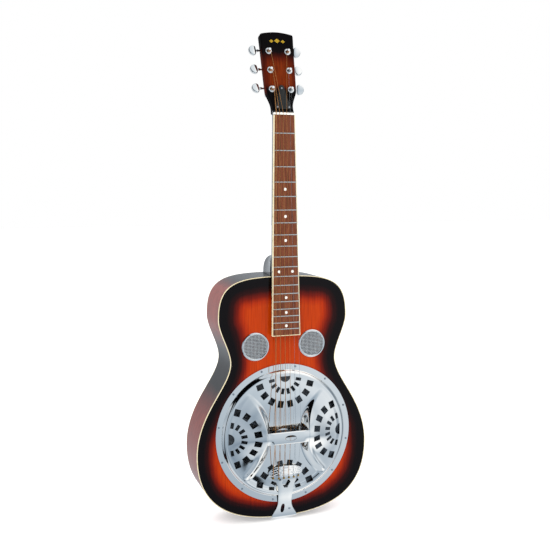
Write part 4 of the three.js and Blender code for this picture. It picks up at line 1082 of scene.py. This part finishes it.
# Thin warm leaf, brighter and darker where it was laid over the lacquer.
gold = mottled("gold_leaf", "#d8a520", (3, 3, 3), "#c08c14", "#eec84a", metallic=1.0, roughness=0.35)
lozenges = []
for k in (-1, 0, 1):
    x, z, size = k * 12, HEAD_LENGTH - 11 - abs(k) * 1.2, 6 - abs(k) * 1.5
    lozenges.append(sheet([(x - size, z), (x, z - size * 0.8), (x + size, z), (x, z + size * 0.8)],
                          -0.12, 0.02))
add_piece("headstock_ornament", joined(lozenges), gold, at=head_at)

# Smooth moulded black that shows only a small soft highlight.
cover_plastic = mottled("black_gloss_styrene", "#0c0d0d", (8, 8, 8), "#0b0c0b", "#161917", 2.0,
                        roughness=0.2, coat=0.2, sheen=0.3)
BELL_FACE = 2.3
bell = [(17, 7), (17.2, 11), (15, 18), (11, 27), (8.4, 36), (7.2, 45), (5.6, 53), (2.8, 56.6)]
bell_plate = soften(sheet(smoothed(mirrored(bell)), -BELL_FACE, -0.3), 0.5, 3, 50)
add_piece("truss_rod_bell_cover", bell_plate, cover_plastic, stands_for=["truss_rod_cover"],
          slot="black_plastic", at=head_at)
screws = [placed(slotted_head(1.8, 1.0, 0.5), Matrix.Translation((x, -BELL_FACE, z)))
          for x, z in ((-12, 11), (12, 11), (0, 50))]
add_piece("truss_rod_cover_screws", joined(screws), steel, slot="steel", at=head_at)
# Yellow metal with faint turning marks, left to dull.
brass = mottled("turned_brass", "#b08a3c", (6, 1, 6), "#9a7730", "#c59c4a", metallic=1.0, roughness=0.35)
refined("truss_rod_steel", ["truss_rod"], steel, 0, slot="steel")
refined("truss_rod_adjuster", ["truss_rod_nut"], brass, 0.4, "rod_nut", "brass", 50)

# ---------------------------------------------------------------- fretboard
# A rosewood board edged in cream, with nineteen nickel-silver frets, pearl dots on its face and
# small dots along the bass edge.

# Reddish brown with long dark pores. The oil has soaked in, so it hardly shines.
rosewood, shader = surface("oiled_rosewood", "#6b3f2a", roughness=0.5, sheen=0.2)
pores = grain(rosewood, (1.1, 6, 34), 6.0)
colour_by(rosewood, shader, pores, [(0.25, "#3a1c11"), (0.5, "#6e3a24"), (0.75, "#8d5334")])
bump(rosewood, shader, pores, 0.12, 0.4)
# Slightly yellow metal, drawn bright along each fret by the strings.
nickel, shader = surface("nickel_silver", "#d8dad6", metallic=1.0, roughness=0.25)
bump(nickel, shader, grain(nickel, (8, 0.6, 0.6), 2.0), 0.02, 0.4)
# Milky plastic with a soft swirl.
pearl = mottled("pearloid", "#e9e7e0", (1.5, 1.5, 1.5), "#d9d6ca", "#fbfaf5", 2.0, roughness=0.25, coat=0.4)

EDGING = 1.6
FRET_CROWN = 1.15
board_top = -FIT / 2 - BOARD_THICK


def tapered(inset, low, high, first, last):
    """A stretch of the board's taper, from first to last below the nut."""
    return sheet([(board_half(first) - inset, -first), (-board_half(first) + inset, -first),
                  (-board_half(last) + inset, -last), (board_half(last) - inset, -last)], low, high)


board = tapered(EDGING, board_top, -FIT / 2, FIT, BOARD_LONG - EDGING)
add_piece("fretboard_rosewood", board, rosewood, stands_for=["fretboard"], slot="rosewood", at=neck_at)
edging = carved(tapered(0, board_top, -FIT / 2, FIT, BOARD_LONG),
                tapered(EDGING, -THROUGH, THROUGH, -5, BOARD_LONG - EDGING))
add_piece("fretboard_edging", soften(edging, 0.25, 2, 50), binding, stands_for=["fretboard_binding"],
          slot="binding", at=neck_at)
fret_wires, dots, side_dots = [], [], []
fret_places = [0.0] + [SCALE * (1 - 2 ** (-n / 12)) for n in range(1, FRETS + 1)]
for down in fret_places[1:]:
    reach = board_half(down) - 0.7
    crown = arc(0, board_top + 0.1, FRET_CROWN, -FRET_CROWN, [math.pi * k / 8 for k in range(9)])
    fret_wires.append(loft([[(x * (1 if abs(x) < reach else 0.98), y, z - down) for z, y in crown]
                            for x in (-reach, reach)]))
for n, xs in ((5, (0,)), (7, (0,)), (9, (0,)), (12, (-14, 14)), (15, (0,)), (17, (0,)), (19, (0,))):
    middle = (fret_places[n] + fret_places[n - 1]) / 2
    for x in xs:
        dots.append(cylinder(2.9, board_top - 0.05, board_top + 1, x, -middle, 32))
        at = Matrix.Translation((-board_half(middle) - 0.05, -3 + x / 14, -middle))
        side_dots.append(placed(turned([(0, 0), (1.1, 0), (1.1, -1), (0, -1)], 16),
                                at @ Matrix.Rotation(-math.pi / 2, 4, "Z")))
add_piece("frets", joined(fret_wires), nickel, slot="rosewood", at=neck_at)
add_piece("position_dots", joined(dots), pearl, slot="bone", at=neck_at)
# Small flat black dots that stand out against the cream edging.
black_dot = mottled("black_celluloid", "#101010", (2, 2, 2), "#0c0c0c", "#181818", roughness=0.3)
add_piece("side_dots", joined(side_dots), black_dot, slot="black_plastic", at=neck_at)
# Warm white with faint long streaks and a hand-polished shine.
bone = mottled("polished_bone", "#f2eee2", (10, 2, 2), "#e9e3d2", "#faf8f1", roughness=0.3, coat=0.3)
refined("nut_bone", ["nut"], bone, 0.25, slot="bone")

# ---------------------------------------------------------------- strings
# Four bronze-wound and two plain steel strings run from the posts over the nut and the saddles to
# the tailpiece, where their brass ball ends hook in.

WOUND = 4
WIND_AT = 5.0
POST_WAIST = 2.6
COIL_STEPS = 24
COIL_TURNS = 3
FRET_HIGH = 1.1

# Reddish wire wound so finely that the coils show only as broken highlights.
bronze, shader = surface("phosphor_bronze_winding", "#f0ab68", metallic=1.0, roughness=0.36)
where = add_node(bronze, "TexCoord")
coils = add_node(bronze, "TexWave", {"Scale": 1 / (0.9 * MM) / math.tau}, {"Vector": where.outputs["Object"]},
                 wave_type="BANDS", bands_direction="Z")
bump(bronze, shader, coils.outputs[1], 0.12, 0.8)

string_y = board_top - FRET_HIGH - 0.9 - STRING_RADII[0]
action_y = board_top - FRET_HIGH - 2.9 - STRING_RADII[0]
saddle_y = string_y + (action_y - string_y) * (SCALE + COMPENSATION) / (SCALE / 2)
saddle = neck_at @ Vector((0, saddle_y, -SCALE - COMPENSATION))
for i, (radius, number) in enumerate(zip(STRING_RADII, (1, 2, 3, 6, 5, 4))):
    post = posts[number]
    inner = -1 if post.x > 0 else 1
    wrap = POST_WAIST + radius
    x = string_x(i, SADDLE_SPREAD)
    nut_x = string_x(i, NUT_SPREAD)
    nut_back = neck_at @ Vector((nut_x, string_y, NUT_LONG + FIT))
    anchor = Vector((x, FRONT - tail_height(x, ANCHOR_Z + 2) - radius - 0.4, ANCHOR_Z + 4))
    points = [head_at @ Vector((post.x + inner * wrap, -WIND_AT, post.z)), nut_back,
              neck_at @ Vector((nut_x, string_y, FIT)), Vector((x, saddle.y, BRIDGE_Z)),
              Vector((x, FRONT - tail_height(x, COMB_Z - 4) - radius - 0.3, COMB_Z - 4)), anchor,
              anchor + Vector((0, 2.6, -3))]
    look, slot_name = (bronze, "bronze") if i < WOUND else (steel, "steel")
    add_piece(f"string_line_{6 - i}", wires([points], radius, 2), look, stands_for=[f"string_{6 - i}"],
              slot=slot_name)
    ball = turned([(0, 2), (1.6, 2), (1.9, 1), (1.9, -1), (1.6, -2), (0, -2)], 20)
    add_piece(f"ball_end_{6 - i}", ball, brass, slot="brass",
              at=Matrix.Translation(anchor + Vector((0, 1.2, -3.6))) @ Matrix.Rotation(math.pi / 2, 4, "Z"))
    coil = []
    for k in range(COIL_STEPS * COIL_TURNS + 1):
        turn = math.tau * k / COIL_STEPS * -inner
        rise = -WIND_AT + 2.2 * radius * k / COIL_STEPS - 0.2
        coil.append((inner * wrap * math.cos(turn), rise, wrap * math.sin(turn)))
    coil.append((0, coil[-1][1], 0))
    seat = head_at @ Matrix.Translation((post.x, 0, post.z))
    add_piece(f"post_winding_{number}", wires([coil], radius, 1), look, f"post_{number}",
              slot=slot_name, at=seat)

# ---------------------------------------------------------------- tuners
# Six open-geared tuners: a post through a threaded bushing and washer, a worm gear in a stamped
# housing behind the headstock, and a cast kidney-shaped button on the worm's shaft. The buttons
# were left at slightly different turns by the last tuning.

GEAR_TEETH = 15
GEAR_OUTER = 5.75
GEAR_INNER = 4.9
GEAR_THICK = 3.4
SHAFT_RADIUS = 1.9
GRIP_LONG = 15.5
BUTTON_TURNS = (-14, -14, -5, 16, -15, 12)

for number, post in posts.items():
    side = -1 if post.x < 0 else 1
    seat = head_at @ Matrix.Translation((post.x, 0, post.z))
    gear_back = -(HEAD_THICK + FIT + 4.5) - 1.7
    gear = []
    for k in range(GEAR_TEETH * 4):
        radius = GEAR_OUTER if k % 4 in (0, 1) else GEAR_INNER
        gear += arc(0, 0, radius, radius, [math.tau * k / (GEAR_TEETH * 4)])
    wheel = sheet(gear, -gear_back - GEAR_THICK, -gear_back)
    stem = turned([(0, gear_back), (3, gear_back), (3, 2.6), (POST_WAIST, 3.4), (POST_WAIST, 7.4), (3, 8.2),
                   (3, 9.6), (2.5, 10.4), (0, 10.5)], 32)
    eye = bmesh.new()
    bmesh.ops.create_cone(eye, cap_ends=True, segments=16, radius1=0.8, radius2=0.8, depth=12)
    stem = joined([carved(stem, placed(eye, Matrix.Translation((0, -8.6, 0)))), wheel])
    add_piece(f"post_geared_{number}", stem, chrome, f"post_{number}", [f"tuner_post_{number}"],
              "chrome", seat)
    washer = turned([(3.25, -7), (4.4, -7), (4.4, 0.1), (6.6, 0.1), (6.6, 0.8), (6.1, 1.3), (4.9, 1.5),
                     (4.6, 2.3), (3.6, 2.6), (3.25, 2.3), (3.25, -7)], 40)
    add_piece(f"bushing_washer_{number}", washer, chrome, stands_for=[f"tuner_bushing_{number}"],
              slot="chrome", at=seat)
    refined(f"housing_stamped_{number}", [f"tuner_housing_{number}"], chrome, 0.5, slot="chrome")
    low, high = box(f"tuner_shaft_{number}")
    joint = next(j for j in frame["joints"] if j["name"] == f"tuner_button_{number}")
    reach = (high.x - low.x) - 4.5
    edge = reach - GRIP_LONG
    at = Matrix.Translation(Vector(joint["pos_m"]) / MM) @ Matrix.Rotation(-HEAD_TILT - NECK_ANGLE, 4, "X")
    shaft = turned([(0, -4.5), (2.3, -4.5), (2.3, 4.5), (SHAFT_RADIUS, 4.6), (SHAFT_RADIUS, edge - 5),
                    (2.9, edge - 4.8), (2.9, edge - 2), (2.2, edge - 1.4), (2.2, edge + 1),
                    (0, edge + 1)], 28)
    half_turn = [-math.pi / 2 + math.pi * k / 20 for k in range(21)]
    rim_points = arc(edge + 4.6, 0, 10.9, 10.5, half_turn)
    rim_points += [(edge + 1.2, 8.8), (edge, 5), (edge, -5), (edge + 1.2, -8.8)]
    grip = soften(sheet(smoothed(rim_points, 1), -3, 3), 1.7, 4, 60)
    rest = Matrix.Rotation(math.radians(side * BUTTON_TURNS[number - 1]), 4, "X")
    turner = joined([placed(shaft, Matrix.Rotation(math.pi / 2, 4, "Z")), placed(grip, rest)])
    if side < 0:
        placed(turner, Matrix.Rotation(math.pi, 4, "Y"))
    add_piece(f"button_cast_{number}", turner, chrome, f"button_{number}", [f"tuner_shaft_{number}"],
              "chrome", at)
    back_at = Matrix.Translation((0, HEAD_THICK + FIT + 9, -3)) @ Matrix.Rotation(math.pi, 4, "Z")
    add_piece(f"housing_screw_{number}", slotted_head(1.7, 0.9, 0.5), steel, slot="steel", at=seat @ back_at)
